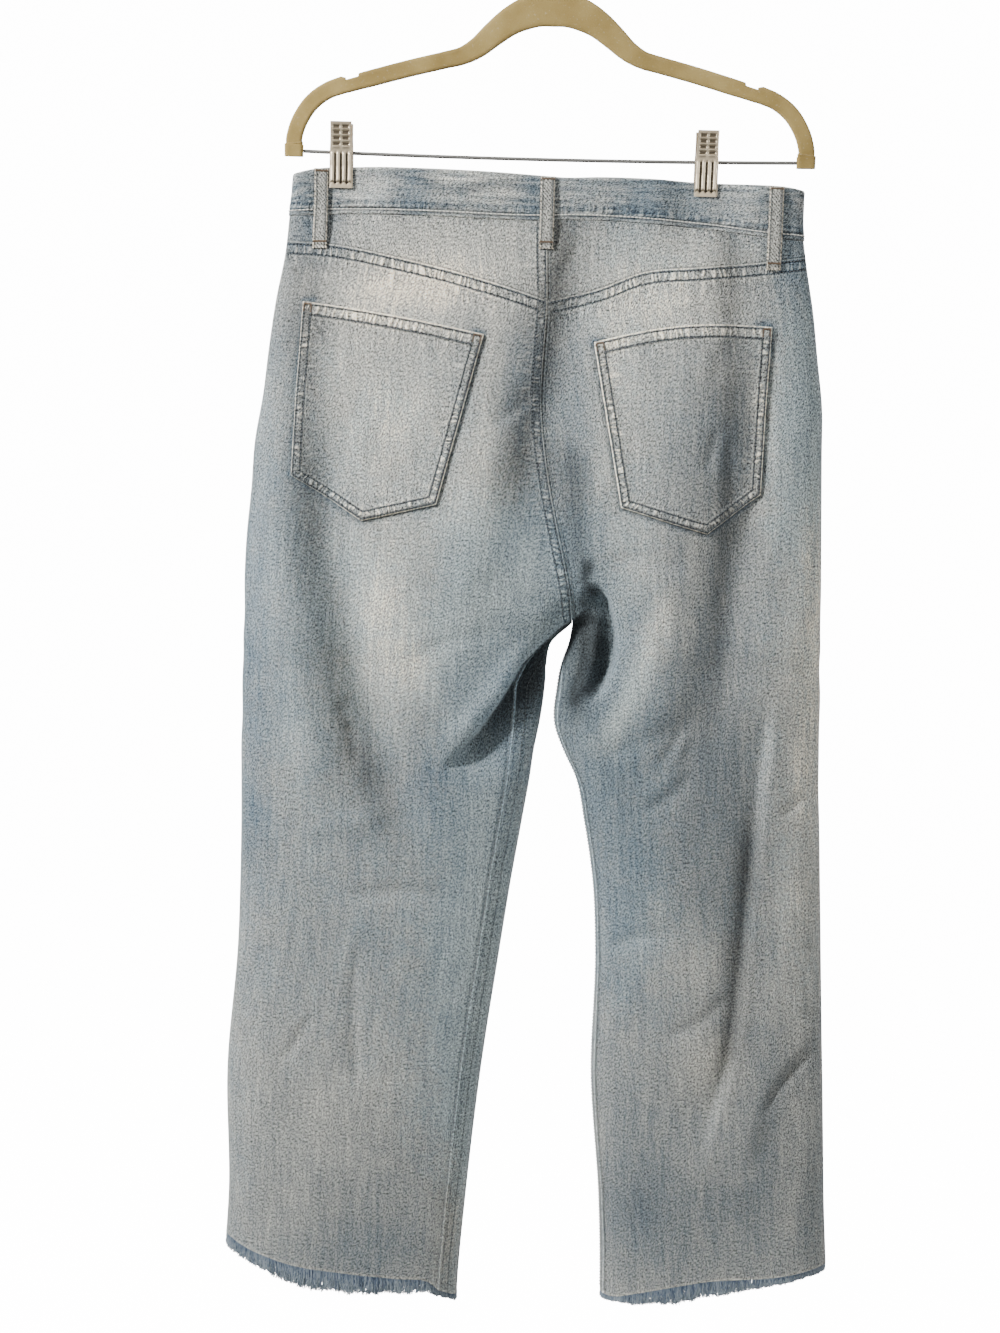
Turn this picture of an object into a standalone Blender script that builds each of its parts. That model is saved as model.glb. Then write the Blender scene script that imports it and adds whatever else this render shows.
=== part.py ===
"""Straight leg jeans hanging from a clip hanger, seen with their back to -Y.

Metres, +Z up, +X to the right of someone looking at the back of the jeans. The
origin is the inside top of the hanger's hook, where it rests on a rail.

Every cloth piece is a wall that follows one shape, the function `cloth`. It is
given a side of the garment, its back or front face, an angle round that half's
section and a height. The section's angle is 0 at the centre seam, or at the
inner fold of a leg below the crotch, and pi at the outer fold.
"""

from collections import namedtuple
from math import cos, pi, radians, sin

import bmesh
import bpy
import numpy as np

MM = 0.001
LEFT, RIGHT = -1, 1
BACK, FRONT = 1, -1

# Driving sizes, in millimetres.
GAP = 0.3  # between two pieces that touch
CLOTH = 1.4  # one layer of denim with its turnings
BAND = 2.6  # the waistband, folded double
LOOP = 1.7
LOOP_WIDTH = 12.5
CROTCH_Z = -612.0
SEAT_ROUND = 74.0  # how far above the crotch the seat starts to curve under
HALF_WAIST = 215.0
CENTRE_GAP = 0.2  # each half's distance from the centre seam
INSEAM_STARTS = 60.0  # below the crotch, where the inseam has moved onto the back

# The outline at each height: x of the left leg's outer and inner fold, x of the
# right leg's inner and outer fold, half the depth, and how square the section is.
Section = namedtuple("Section", "z left_out left_in right_in right_out depth square")
SECTIONS = (
    Section(-1300, -282, -58, 76, 291, 32, 3.0),
    Section(-1240, -278, -57, 76, 289, 32, 3.0),
    Section(-1150, -272, -51, 72, 282, 31, 3.0),
    Section(-1030, -273, -40, 61, 274, 30, 3.0),
    Section(-910, -263, -25, 61, 266, 29, 3.0),
    Section(-850, -261, -17, 57, 262, 29, 3.0),
    Section(-790, -260, -8, 47, 258, 29, 3.0),
    Section(-750, -260, -2, 38, 255, 29, 3.0),
    Section(-725, -260, 1, 26, 254, 29, 3.0),
    Section(-703, -259, 5, 18, 253, 29, 3.0),
    Section(-670, -259, 9, 19, 252, 30, 3.1),
    Section(-645, -258, 10, 23, 250, 30, 3.1),
    Section(-630, -258, 13, 28, 250, 31, 3.1),
    Section(-612, -257, 31, 31, 249, 31, 3.1),
    Section(-580, -257, 27, 27, 248, 32, 3.2),
    Section(-540, -255, 18, 18, 246, 33, 3.3),
    Section(-500, -251, 9, 9, 244, 33, 3.5),
    Section(-460, -248, 2, 2, 242, 32, 3.8),
    Section(-420, -241, -2, -2, 240, 29, 4.2),
    Section(-380, -236, -1, -1, 234, 25, 5.0),
    Section(-340, -230, 1, 1, 228, 19, 6.5),
    Section(-300, -222, 0, 0, 220, 13, 10.0),
    Section(-268, -218.5, -1, -1, 215, 10, 16.0),
    Section(-225, -214, -1, -1, 215, 9, 20.0),
)

# Heights along a seam. share runs from the centre seam or inseam, 0, to the side, 1.
Along = namedtuple("Along", "share z")
YOKE_SEAM = {
    LEFT: (Along(0, -335), Along(0.18, -323), Along(0.37, -312), Along(0.56, -303),
           Along(0.83, -293), Along(1, -291)),
    RIGHT: (Along(0, -335), Along(0.2, -324), Along(0.35, -311), Along(0.58, -305),
            Along(0.81, -300), Along(1, -294)),
}
# The cut edge of each panel, and how long the threads frayed out of it are.
Hem = namedtuple("Hem", "share z threads")
HEM = {
    (LEFT, BACK): (Hem(0, -1238, 6), Hem(0.05, -1229, 11), Hem(0.2, -1222, 15.5),
                   Hem(0.4, -1216, 20), Hem(0.55, -1211, 18), Hem(0.7, -1203, 12),
                   Hem(1, -1199, 12)),
    (LEFT, FRONT): (Hem(0, -1238, 6), Hem(0.1, -1248, 6), Hem(0.2, -1247, 9),
                    Hem(0.4, -1236, 13), Hem(0.7, -1214, 13), Hem(1, -1199, 12)),
    (RIGHT, BACK): (Hem(0, -1243, 6), Hem(0.1, -1241, 6), Hem(0.2, -1234, 11),
                    Hem(0.35, -1222, 17), Hem(0.45, -1216, 16), Hem(0.6, -1213, 10),
                    Hem(0.8, -1208, 7), Hem(1, -1208, 7)),
    (RIGHT, FRONT): (Hem(0, -1243, 6), Hem(0.3, -1240, 12), Hem(0.6, -1228, 13),
                     Hem(1, -1208, 7)),
}
# The waistband's edges, by x.
Edge = namedtuple("Edge", "x z")
BAND_TOP = (Edge(-216, -236), Edge(-198, -231.5), Edge(-160, -229), Edge(-125, -229),
            Edge(-41, -231), Edge(-5, -233), Edge(14, -234), Edge(42, -233), Edge(90, -233.5),
            Edge(126, -235), Edge(165, -236), Edge(205, -238), Edge(216, -240))
BAND_BOTTOM = (Edge(-216, -270.5), Edge(-171, -268), Edge(-99, -268), Edge(-7, -269.5),
               Edge(18, -268.5), Edge(93, -270.5), Edge(144, -274.5), Edge(178, -278.5),
               Edge(216, -281))

# The largest folds. A step is low on its left hand, going along its points; a
# trough or a ridge is even on both. width is across the fold's slope, reach how
# far the low ground goes on, and depth how far the cloth moves in or out.
Fold = namedtuple("Fold", "side face kind depth width reach points")
FOLDS = (
    Fold(LEFT, BACK, "step", 15, 5, 26,
         ((9, -629), (-11, -649), (-32, -685), (-49, -709), (-71, -731), (-83, -745))),
    Fold(RIGHT, BACK, "step", 15, 5, 22,
         ((47, -681), (59, -663), (66, -643), (68, -620), (61, -590), (48, -568))),
    Fold(RIGHT, BACK, "step", 7, 8, 40,
         ((164, -1108), (175, -1050), (188, -1018), (188, -973), (194, -905), (201, -825),
          (209, -794))),
    Fold(RIGHT, BACK, "trough", 6, 16, 0,
         ((137, -671), (143, -622), (155, -586), (163, -531))),
    Fold(LEFT, BACK, "trough", 4, 14, 0, ((-184, -560), (-190, -640))),
    Fold(LEFT, FRONT, "trough", 8, 14, 0, ((-2, -600), (-60, -590), (-120, -560))),
    Fold(LEFT, FRONT, "trough", 6, 15, 0, ((-10, -690), (-70, -725), (-130, -735))),
    Fold(RIGHT, FRONT, "trough", 8, 14, 0, ((62, -604), (120, -586), (176, -550))),
    Fold(RIGHT, FRONT, "trough", 6, 16, 0, ((60, -700), (120, -742), (170, -750))),
)

# Where each clip grips the waistband, and how the cloth is pinched there.
CLIP_X = {"left": -175.0, "right": 131.5}
PINCHED = 1.95  # half the depth of the cloth between a clip's jaws
PINCH_FLAT = 11.0
PINCH_FADES = 45.0  # from the clip's middle
PINCH_BELOW = (-247.0, -302.0)  # the pinch is whole above the first, gone at the second

# Back pocket corners: top inner, top outer, bottom outer, tip, bottom inner.
Patch = namedtuple("Patch", "top_in top_out bottom_out tip bottom_in rise")
POCKETS = {
    "left": Patch((-52, -365), (-205, -341), (-214, -487), (-153, -524), (-89, -508), 2),
    "right": Patch((41, -369), (191, -353), (188, -494), (142, -528), (68, -507), 7),
}
PATCH_LIFT = 0.7  # its own thickness turned in keeps a patch this far off the panel
PATCH = 1.2
FACING = 1.0
SHOWN_FACING = 16.0  # how far the facing goes on below the pocket's mouth

# Belt loops: which face, the middle's x, and the height of the lower end.
Loop = namedtuple("Loop", "face x bottom")
LOOPS = {
    "back_left": Loop(BACK, -191.6, -297.0),
    "back_centre": Loop(BACK, -1.3, -293.0),
    "back_right": Loop(BACK, 190.2, -306.0),
    "front_left": Loop(FRONT, -92.0, -296.0),
    "front_right": Loop(FRONT, 92.0, -299.0),
}

FLY_Z = (-274.0, -420.0)  # the zip's top and bottom
ZIP_TAPE, ZIP_CHAIN = 0.8, 0.7
SHIELD = 1.4

FRINGE_PITCH = 4.0  # a lock of threads to each, round a leg
FRINGE_STRIP = 3.0
FRINGE_THICK = 1.2
LOCK_TIP = 0.4  # a lock's tip as a share of its root
LOCKS_VARY = (0.85, 1.1)

HANGER_BAR_Z = -217.0  # at its ends
BAR_SAG = 2.2
BAR_RADIUS = 1.5
CLIP_TOP, CLIP_BOTTOM = -193.0, -246.5
CLIP_PLATE = 1.0
SPRING_RADIUS, SPRING_HALF = 3.9, 7.5
HOOK_WIRE = 1.8
HOOK_INSIDE = 19.0
HUMP_TOP = -85.0

DENIM = (0.52, 0.60, 0.68)
DENIM_DARK = (0.38, 0.48, 0.60)
FRAYED = (0.36, 0.47, 0.62)
FLOCK = (0.66, 0.58, 0.40)
STEEL = (0.72, 0.70, 0.67)


# ---------------------------------------------------------------- the garment's shape


def smooth(x, xs, ys):
    """A smooth curve through (xs, ys), read at x: cubic pieces whose slopes are the points' own."""
    xs, ys = np.asarray(xs, float), np.asarray(ys, float)
    slope = np.gradient(ys, xs)
    x = np.clip(x, xs[0], xs[-1])
    i = np.clip(np.searchsorted(xs, x, side="right") - 1, 0, len(xs) - 2)
    h = xs[i + 1] - xs[i]
    t = (x - xs[i]) / h
    start = (1 + 2 * t) * (1 - t) ** 2 * ys[i] + t * (1 - t) ** 2 * h * slope[i]
    end = t**2 * (3 - 2 * t) * ys[i + 1] + t**2 * (t - 1) * h * slope[i + 1]
    return start + end


def ramp(x, low, high):
    """0 below low, 1 above high, and a smooth rise between them."""
    t = np.clip((x - low) / (high - low), 0, 1)
    return t * t * (3 - 2 * t)


def column(name, z):
    """A column of SECTIONS read at z. The inner folds part at the crotch, with a corner there."""
    legs = [row for row in SECTIONS if row.z <= CROTCH_Z]
    body = [row for row in SECTIONS if row.z >= CROTCH_Z]
    if not name.endswith("_in"):
        return smooth(z, [row.z for row in SECTIONS], [getattr(row, name) for row in SECTIONS])
    below = smooth(z, [row.z for row in legs], [getattr(row, name) for row in legs])
    above = smooth(z, [row.z for row in body], [getattr(row, name) for row in body])
    return np.where(z < CROTCH_Z, below, above)


def along(table, x, column=1):
    """A table of points read at x: its first column is x, and z is its second."""
    return smooth(x, [row[0] for row in table], [row[column] for row in table])


def inseam_angle(side, z):
    """Where the inseam lies on the section: on the inner fold at the crotch, then on the back."""
    onto_back = 0.56 if side == LEFT else 0.2
    return onto_back * ramp(CROTCH_Z - z, 0, INSEAM_STARTS)


def pinch(x, z):
    grip = sum(1 - ramp(np.abs(x - clip), PINCH_FLAT, PINCH_FADES) for clip in CLIP_X.values())
    return grip * ramp(z, PINCH_BELOW[1], PINCH_BELOW[0])


def fold_height(fold, x, z):
    """How far one fold moves the cloth: the distance to its line, as a step, trough or ridge."""
    points = np.array(fold.points, float)
    lengths = np.linalg.norm(np.diff(points, axis=0), axis=1)
    nearest = np.full(np.shape(x), np.inf)
    hand, travelled = np.zeros(np.shape(x)), np.zeros(np.shape(x))
    start = 0.0
    for a, b, length in zip(points[:-1], points[1:], lengths):
        d = (b - a) / length
        t = np.clip((x - a[0]) * d[0] + (z - a[1]) * d[1], 0, length)
        away = np.hypot(x - a[0] - t * d[0], z - a[1] - t * d[1])
        closer = away < nearest
        side = np.sign(d[0] * (z - a[1]) - d[1] * (x - a[0]))
        hand = np.where(closer, side, hand)
        travelled = np.where(closer, start + t, travelled)
        nearest = np.minimum(nearest, away)
        start += length
    share = travelled / start
    ends = ramp(share, 0, 0.22) * ramp(1 - share, 0, 0.22)
    if fold.kind == "step":
        low = ramp(hand * nearest, -fold.width, fold.width) * np.exp(-((nearest / fold.reach) ** 2))
        return -fold.depth * ends * low
    sign = -1 if fold.kind == "trough" else 1
    return sign * fold.depth * ends * np.exp(-((nearest / fold.width) ** 2))


def bare(side, face, angle, z):
    """The section without its folds: x by the angle's cosine, y by a rounded power curve."""
    inner = column("left_in" if side == LEFT else "right_in", z) + side * CENTRE_GAP
    outer = column("left_out" if side == LEFT else "right_out", z)
    square = column("square", z)
    share = (1 - np.cos(angle)) / 2
    x = inner + (outer - inner) * share
    grip = pinch(x, z)
    depth = column("depth", z) * (1 - grip) + PINCHED * grip
    under = np.clip((z - CROTCH_Z) / SEAT_ROUND, 0, 1)
    whole = 1 - (1 - under) ** 2  # 1 where both halves share one section, 0 at the crotch
    leg = 1 - np.abs(np.cos(angle)) ** square
    body = 1 - share**square
    half = depth * np.sqrt(np.clip((1 - whole) * leg + whole * body, 0, None))
    turn = np.where((z > CROTCH_Z) & (angle < pi / 2), 1.0, np.sign(np.sin(angle)))
    return np.stack([x, -face * turn * half, z + 0 * x], axis=-1)


def cloth(side, face, angle, z, lift=0.0):
    """A point of the garment, moved out by its folds and by lift along the surface's normal."""
    angle, z = np.broadcast_arrays(np.asarray(angle, float), np.asarray(z, float))
    point = bare(side, face, angle, z)
    body = z > CROTCH_Z
    steady = np.where(body, np.maximum(angle, 0.05), angle)
    step = 0.01
    across = bare(side, face, steady + step, z) - bare(side, face, steady - step, z)
    up = bare(side, face, steady, z + 0.5) - bare(side, face, steady, z - 0.5)
    up = np.where(((z > CROTCH_Z - 1) & (z < CROTCH_Z + 1))[..., None], (0, 0, 1.0), up)
    normal = np.cross(across, up) * (side * face)
    normal /= np.linalg.norm(normal, axis=-1, keepdims=True)
    on_back = (face == BACK) == (body | (np.sin(angle) > 0))
    moved = np.zeros(np.shape(z))
    for fold in FOLDS:
        if fold.side == side:
            here = on_back if fold.face == BACK else ~on_back
            moved += np.where(here, fold_height(fold, point[..., 0], z), 0)
    moved *= ramp(np.abs(np.sin(angle)), 0, 0.45)
    return point + normal * (moved + lift)[..., None]


def angle_at(side, x, z):
    """The angle whose point has this x at this height."""
    inner = column("left_in" if side == LEFT else "right_in", z) + side * CENTRE_GAP
    outer = column("left_out" if side == LEFT else "right_out", z)
    return np.arccos(1 - 2 * np.clip((x - inner) / (outer - inner), 0, 1))


def laid(face, x, z, lift):
    """A point of the garment by its x and z, on whichever half it falls."""
    x, z, lift = np.broadcast_arrays(x, z, lift)
    centre = column("left_in", z)
    left = cloth(LEFT, face, angle_at(LEFT, x, z), z, lift)
    right = cloth(RIGHT, face, angle_at(RIGHT, x, z), z, lift)
    return np.where((x < centre)[..., None], left, right)


# ---------------------------------------------------------------- making solids


def material(name, colour, roughness, metallic=0.0):
    made = bpy.data.materials.new(name)
    made.use_nodes = True
    shader = made.node_tree.nodes["Principled BSDF"]
    shader.inputs["Base Color"].default_value = (*colour, 1)
    shader.inputs["Roughness"].default_value = roughness
    shader.inputs["Metallic"].default_value = metallic
    return made


def add(name, mesh, look):
    """Puts a closed mesh into the model as a named object, faces outwards."""
    body = bmesh.new()
    body.from_mesh(mesh)
    bmesh.ops.recalc_face_normals(body, faces=body.faces)
    body.to_mesh(mesh)
    body.free()
    mesh.shade_smooth()
    mesh.set_sharp_from_angle(angle=radians(50))
    obj = bpy.data.objects.new(name, mesh)
    obj.data.materials.append(look)
    jeans.objects.link(obj)
    return obj


def mesh_of(name, points, faces):
    mesh = bpy.data.meshes.new(name)
    mesh.from_pydata((np.asarray(points).reshape(-1, 3) * MM).tolist(), [], faces)
    return mesh


def wall(name, outer, inner, look):
    """A closed wall between two grids of points, rows by columns, edges and all."""
    rows, columns = outer.shape[:2]
    count = rows * columns
    faces = []
    for r in range(rows - 1):
        for c in range(columns - 1):
            a = r * columns + c
            b = a + columns
            for corners in ((a, a + 1, b + 1), (a, b + 1, b)):
                faces.append(corners)
                faces.append(tuple(count + i for i in reversed(corners)))
    rim = list(range(columns))
    rim += [r * columns + columns - 1 for r in range(1, rows)]
    rim += [(rows - 1) * columns + c for c in range(columns - 2, -1, -1)]
    rim += [r * columns for r in range(rows - 2, 0, -1)]
    for a, b in zip(rim, rim[1:] + rim[:1]):
        faces.append((b, a, count + a, count + b))
    return add(name, mesh_of(name, np.concatenate([outer.reshape(-1, 3), inner.reshape(-1, 3)]),
                             faces), look)


def loft(name, rings, look):
    """A closed solid through rings of points, with a flat cap on each end."""
    rings = np.asarray(rings, float)
    stations, sides = rings.shape[:2]
    faces = [tuple(range(sides)), tuple((stations - 1) * sides + k for k in range(sides))]
    for r in range(stations - 1):
        for k in range(sides):
            a, b = r * sides + k, r * sides + (k + 1) % sides
            faces.append((a, b, b + sides, a + sides))
    return add(name, mesh_of(name, rings, faces), look)


def wire(name, path, radius, look, around=2):
    """A round wire along a path, a curve with a bevel and filled ends."""
    curve = bpy.data.curves.new(name, "CURVE")
    curve.dimensions = "3D"
    curve.bevel_depth = radius * MM
    curve.bevel_resolution = around
    curve.use_fill_caps = True
    spline = curve.splines.new("POLY")
    spline.points.add(len(path) - 1)
    for point, place in zip(spline.points, path):
        point.co = (*(value * MM for value in place), 1)
    obj = bpy.data.objects.new(name, curve)
    obj.data.materials.append(look)
    jeans.objects.link(obj)
    return obj


# ---------------------------------------------------------------- panels


def leg_rows(above, below):
    """Row shares from the top edge to the crotch and on to the hem, closest at the crotch."""
    to_crotch = 1 - (1 - np.linspace(0, 1, above + 1)) ** 1.4
    to_hem = np.linspace(0, 1, below + 1)[1:] ** 1.35
    return to_crotch, to_hem


def panel_grid(side, face, columns, top):
    """Angles and heights of a leg panel: rows from its top edge to its hem."""
    to_crotch, to_hem = leg_rows(12, 20)
    across = np.linspace(0, 1, columns + 1)
    angle = across * pi
    edge = top((1 - np.cos(angle)) / 2)
    upper_z = edge + (CROTCH_Z - edge) * to_crotch[:, None]
    upper_angle = np.broadcast_to(angle, upper_z.shape)
    hem = along(HEM[side, face], across)
    lower_z = CROTCH_Z + (hem - CROTCH_Z) * to_hem[:, None]
    start = inseam_angle(side, lower_z) * face
    lower_angle = start + (pi - start) * across
    angle = np.concatenate([upper_angle, lower_angle])
    z = np.concatenate([upper_z, lower_z])
    at_seam = np.where(z > CROTCH_Z + 0.01, 0.0, 0.004)
    angle = angle + (1 - across) * at_seam - across * 0.004
    return angle, z


def yoke_edge(side):
    return lambda share: along(YOKE_SEAM[side], share) - GAP / 2


def waist_z(side, share):
    """The height of the waistband's lower edge at a share of the way to the side."""
    return along(BAND_BOTTOM, side * share * HALF_WAIST)


SCOOP_STARTS, SCOOP_DEEP = 0.5, 76.0


def scoop(side, share):
    """The front panel's top edge: the waist seam, then down round the pocket's mouth."""
    out = np.clip((share - SCOOP_STARTS) / (1 - SCOOP_STARTS), 0, 1)
    return waist_z(side, share) - GAP - SCOOP_DEEP * (1 - (1 - out) ** 1.6) ** 0.8


BACK_COLUMNS, FRONT_COLUMNS = 14, 12


def make_panels():
    for side, word in ((LEFT, "left"), (RIGHT, "right")):
        angle, z = panel_grid(side, BACK, BACK_COLUMNS, yoke_edge(side))
        wall(f"back_{word}", cloth(side, BACK, angle, z), cloth(side, BACK, angle, z, -CLOTH), denim)
        angle, z = panel_grid(side, FRONT, FRONT_COLUMNS, lambda share, side=side: scoop(side, share))
        wall(f"front_{word}", cloth(side, FRONT, angle, z), cloth(side, FRONT, angle, z, -CLOTH),
             denim)


def make_yokes():
    for side, word in ((LEFT, "left"), (RIGHT, "right")):
        angle = np.linspace(0, 1, 15) * (pi - 0.004)
        share = (1 - np.cos(angle)) / 2
        top = waist_z(side, share) - GAP
        bottom = along(YOKE_SEAM[side], share) + GAP / 2
        z = top + (bottom - top) * np.linspace(0, 1, 4)[:, None]
        angle = np.broadcast_to(angle, z.shape)
        wall(f"yoke_{word}", cloth(side, BACK, angle, z), cloth(side, BACK, angle, z, -CLOTH), denim)


def make_pocket_facings():
    """The cloth behind each front pocket's mouth, under the front panel's edge."""
    for side, word in ((LEFT, "left"), (RIGHT, "right")):
        angle = np.linspace(0, pi, FRONT_COLUMNS + 1)[FRONT_COLUMNS // 2 :]
        share = (1 - np.cos(angle)) / 2
        angle = np.minimum(angle, pi - 0.004)
        top = waist_z(side, share) - GAP
        mouth = scoop(side, share)
        z = top + (mouth - SHOWN_FACING - top) * np.linspace(0, 1, 8)[:, None]
        flush = ramp(share, 0.93, 1.0) * ramp(z - mouth, 3, 14)
        lift = -(CLOTH + 3 * GAP) * (1 - flush)
        angle = np.broadcast_to(angle, z.shape)
        wall(f"pocket_facing_{word}", cloth(side, FRONT, angle, z, lift),
             cloth(side, FRONT, angle, z, lift - FACING), denim_dark)


# ---------------------------------------------------------------- waistband and what it carries


def around_waist(turn, z, lift):
    """A point of the waist by its turn: 0 at the centre back, 2 pi at the centre front going
    right, -2 pi going left, and past those onto the other half of the front."""
    turn, z, lift = np.broadcast_arrays(turn, z, lift)
    size = np.abs(turn)
    right = turn > 0
    point = np.zeros((*turn.shape, 3))
    for side in (LEFT, RIGHT):
        own = right if side == RIGHT else ~right
        for face, angle, here in (
            (BACK, np.clip(size, 0, pi), own & (size <= pi)),
            (FRONT, np.clip(2 * pi - size, 0, pi), own & (size > pi) & (size <= 2 * pi)),
            (FRONT, np.clip(size - 2 * pi, 0, pi), ~own & (size > 2 * pi)),
        ):
            found = cloth(side, face, angle, z, lift)
            point = np.where(here[..., None], found, point)
    return point


BAND_OUT = 0.9  # the waistband's face stands this far out from the panels
OVERLAP_TOP, OVERLAP_UNDER = 0.52, 0.66  # how far the two ends pass the centre front, as angles


def make_waistband():
    """One strip from the buttonhole end round the back to the button end, which lies under."""
    turn = [
        np.linspace(-2 * pi - OVERLAP_TOP, -2 * pi + 0.9, 8)[:-1],
        np.linspace(-2 * pi + 0.9, 2 * pi - 1.2, 35),
        np.linspace(2 * pi - 1.2, 2 * pi + OVERLAP_UNDER, 11)[1:],
    ]
    for middle in CLIP_X.values():
        near = np.abs(middle) + np.array([-39, -30, -21, -11, 0, 11, 21, 30, 39])
        angle = np.arccos(1 - 2 * near / HALF_WAIST) * np.sign(middle)
        turn += [angle, np.sign(middle) * 2 * pi - angle]
    turn = np.sort(np.concatenate(turn))
    turn = turn[np.append(np.diff(turn) > 0.02, True)]
    turn = np.where(np.abs(turn) < 1e-6, 1e-6, turn)
    side = np.where(np.abs(turn) <= 2 * pi, 1, -1) * np.sign(turn)
    x = side * HALF_WAIST * (1 - np.cos(turn)) / 2
    top, bottom = along(BAND_TOP, x), along(BAND_BOTTOM, x)
    z = top + (bottom - top) * np.linspace(0, 1, 4)[:, None]
    under = ramp(turn, 2 * pi - 1.15, 2 * pi - 0.62) * (BAND + GAP)
    turn = np.broadcast_to(turn, z.shape)
    wall("waistband", around_waist(turn, z, BAND_OUT - under),
         around_waist(turn, z, BAND_OUT - BAND - under), denim)


def make_loops():
    for word, loop in LOOPS.items():
        x = loop.x + LOOP_WIDTH * np.linspace(-0.5, 0.5, 4)
        top = along(BAND_TOP, loop.x) - 0.5
        seam = along(BAND_BOTTOM, loop.x)
        heights = np.concatenate([np.linspace(top, seam + 2, 5), np.linspace(seam - 5, loop.bottom, 4)])
        lift = BAND_OUT + 2 * GAP - (BAND_OUT - 0.1) * ramp(seam - heights, 4, 18)
        lift = lift + 0.8 * np.sin(pi * np.linspace(0, 1, len(heights)))
        z, lift = heights[:, None] + 0 * x, lift[:, None] + 0 * x
        x = np.broadcast_to(x, z.shape)
        wall(f"belt_loop_{word}", laid(loop.face, x, z, lift + LOOP), laid(loop.face, x, z, lift), denim)


def make_button():
    """A domed button with a flat rim on the waistband's end."""
    x, z = 3.0, -252.0
    rim = np.linspace(0, 2 * pi, 12)
    under = laid(FRONT, x + 8.5 * np.cos(rim), z + 8.5 * np.sin(rim), BAND_OUT + GAP)
    seat = (x, under[:, 1].max() + GAP / 2)
    rings = []
    for radius, out in ((7.6, 0.0), (8.5, 0.8), (8.5, 1.8), (7.4, 2.6), (5.6, 2.4), (2.5, 3.1)):
        rings.append([(seat[0] + radius * cos(a), seat[1] + out, z + radius * sin(a))
                      for a in np.linspace(0, 2 * pi, 16, endpoint=False)])
    loft("button", rings, brass)


def make_fly():
    """The zip's tape with its raised chain, and the shield behind it, inside the centre front."""
    rows = np.linspace(*FLY_Z, 10)[:, None]
    across = np.array([-13, -4, -3, 3, 4, 13.0])
    x, z = np.broadcast_arrays(across - 0.5, rows)
    raised = np.where(np.abs(across) < 3.5, ZIP_CHAIN, 0.0)
    tape = -(CLOTH + 0.8)
    wall("zip", laid(FRONT, x, z, tape), laid(FRONT, x, z, tape - ZIP_TAPE - raised), brass)
    x, z = np.broadcast_arrays(np.linspace(-12.0, 27.0, 7), rows)
    shield = tape - ZIP_TAPE - ZIP_CHAIN - 0.5
    wall("fly_shield", laid(FRONT, x, z, shield), laid(FRONT, x, z, shield - SHIELD), denim_dark)


def make_back_pockets():
    """Five-cornered patches, straight at the sides, with a low arc at the mouth."""
    for word, patch in POCKETS.items():
        u = np.linspace(0, 1, 9)
        v = np.linspace(0, 1, 9)[:, None]
        top_x = patch.top_in[0] + (patch.top_out[0] - patch.top_in[0]) * u
        top_z = patch.top_in[1] + (patch.top_out[1] - patch.top_in[1]) * u + patch.rise * np.sin(pi * u)
        corners = (patch.bottom_in, patch.tip, patch.bottom_out)
        bottom_x = np.interp(u, (0, 0.5, 1), [corner[0] for corner in corners])
        bottom_z = np.interp(u, (0, 0.5, 1), [corner[1] for corner in corners])
        x = top_x + (bottom_x - top_x) * v
        z = top_z + (bottom_z - top_z) * v
        wall(f"pocket_back_{word}", laid(BACK, x, z, PATCH_LIFT + PATCH), laid(BACK, x, z, PATCH_LIFT),
             denim)


# ---------------------------------------------------------------- frayed hems


def hem_ring(side):
    """Round a leg, its outer points, its inner points and how long the threads are at each: its
    two panels' own lower edges, with each stretch between two of their points cut evenly."""
    edges = []
    for face, columns in ((BACK, BACK_COLUMNS), (FRONT, FRONT_COLUMNS)):
        angle, z = panel_grid(side, face, columns, yoke_edge(side))
        outer = cloth(side, face, angle[-1], z[-1])
        inner = cloth(side, face, angle[-1], z[-1], -FRINGE_THICK)
        threads = along(HEM[side, face], np.linspace(0, 1, columns + 1), 2)
        edges.append(np.column_stack([outer, inner, threads])[::face])
    edge = np.concatenate([*edges, edges[0][:1]])
    long = np.linalg.norm(np.diff(edge[:, :3], axis=0), axis=1)
    pieces = np.maximum(1, np.round(long / FRINGE_PITCH)).astype(int)
    at = np.concatenate([k + np.arange(n) / n for k, n in enumerate(pieces)])
    ring = np.stack([np.interp(at, np.arange(len(edge)), part) for part in edge.T], axis=1)
    return ring[:, :3], ring[:, 3:6], ring[:, 6]


def make_fringe():
    """A narrow strip under each hem with a lock of threads below each of its stretches."""
    for side, word in ((LEFT, "left"), (RIGHT, "right")):
        chance = np.random.default_rng(7 if side == LEFT else 11)
        outer, inner, threads = hem_ring(side)
        count = len(outer)
        top = np.stack([outer, inner]) - (0, 0, GAP)
        low = top - (0, 0, FRINGE_STRIP)
        corners = np.concatenate([low, np.roll(low, -1, axis=1)[::-1]])
        middle = corners.mean(axis=0)
        lean = (corners[3] - corners[0]) * chance.uniform(-0.3, 0.3, (count, 1))
        drop = threads * chance.uniform(*LOCKS_VARY, count) - FRINGE_STRIP
        tips = middle + LOCK_TIP * (corners - middle) + lean
        tips[..., 2] = middle[:, 2] - drop
        points = np.concatenate([top.reshape(-1, 3), low.reshape(-1, 3), tips.reshape(-1, 3)])
        faces = []
        for i in range(count):
            j = (i + 1) % count
            faces.append((i, j, count + j, count + i))
            faces.append((i, 2 * count + i, 2 * count + j, j))
            faces.append((count + i, count + j, 3 * count + j, 3 * count + i))
            root = (2 * count + i, 3 * count + i, 3 * count + j, 2 * count + j)
            tip = tuple((4 + k) * count + i for k in range(4))
            faces.append(tip)
            for k in range(4):
                faces.append((root[k], root[(k + 1) % 4], tip[(k + 1) % 4], tip[k]))
        add(f"fringe_{word}", mesh_of(f"fringe_{word}", points, faces), frayed)


# ---------------------------------------------------------------- hanger

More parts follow.
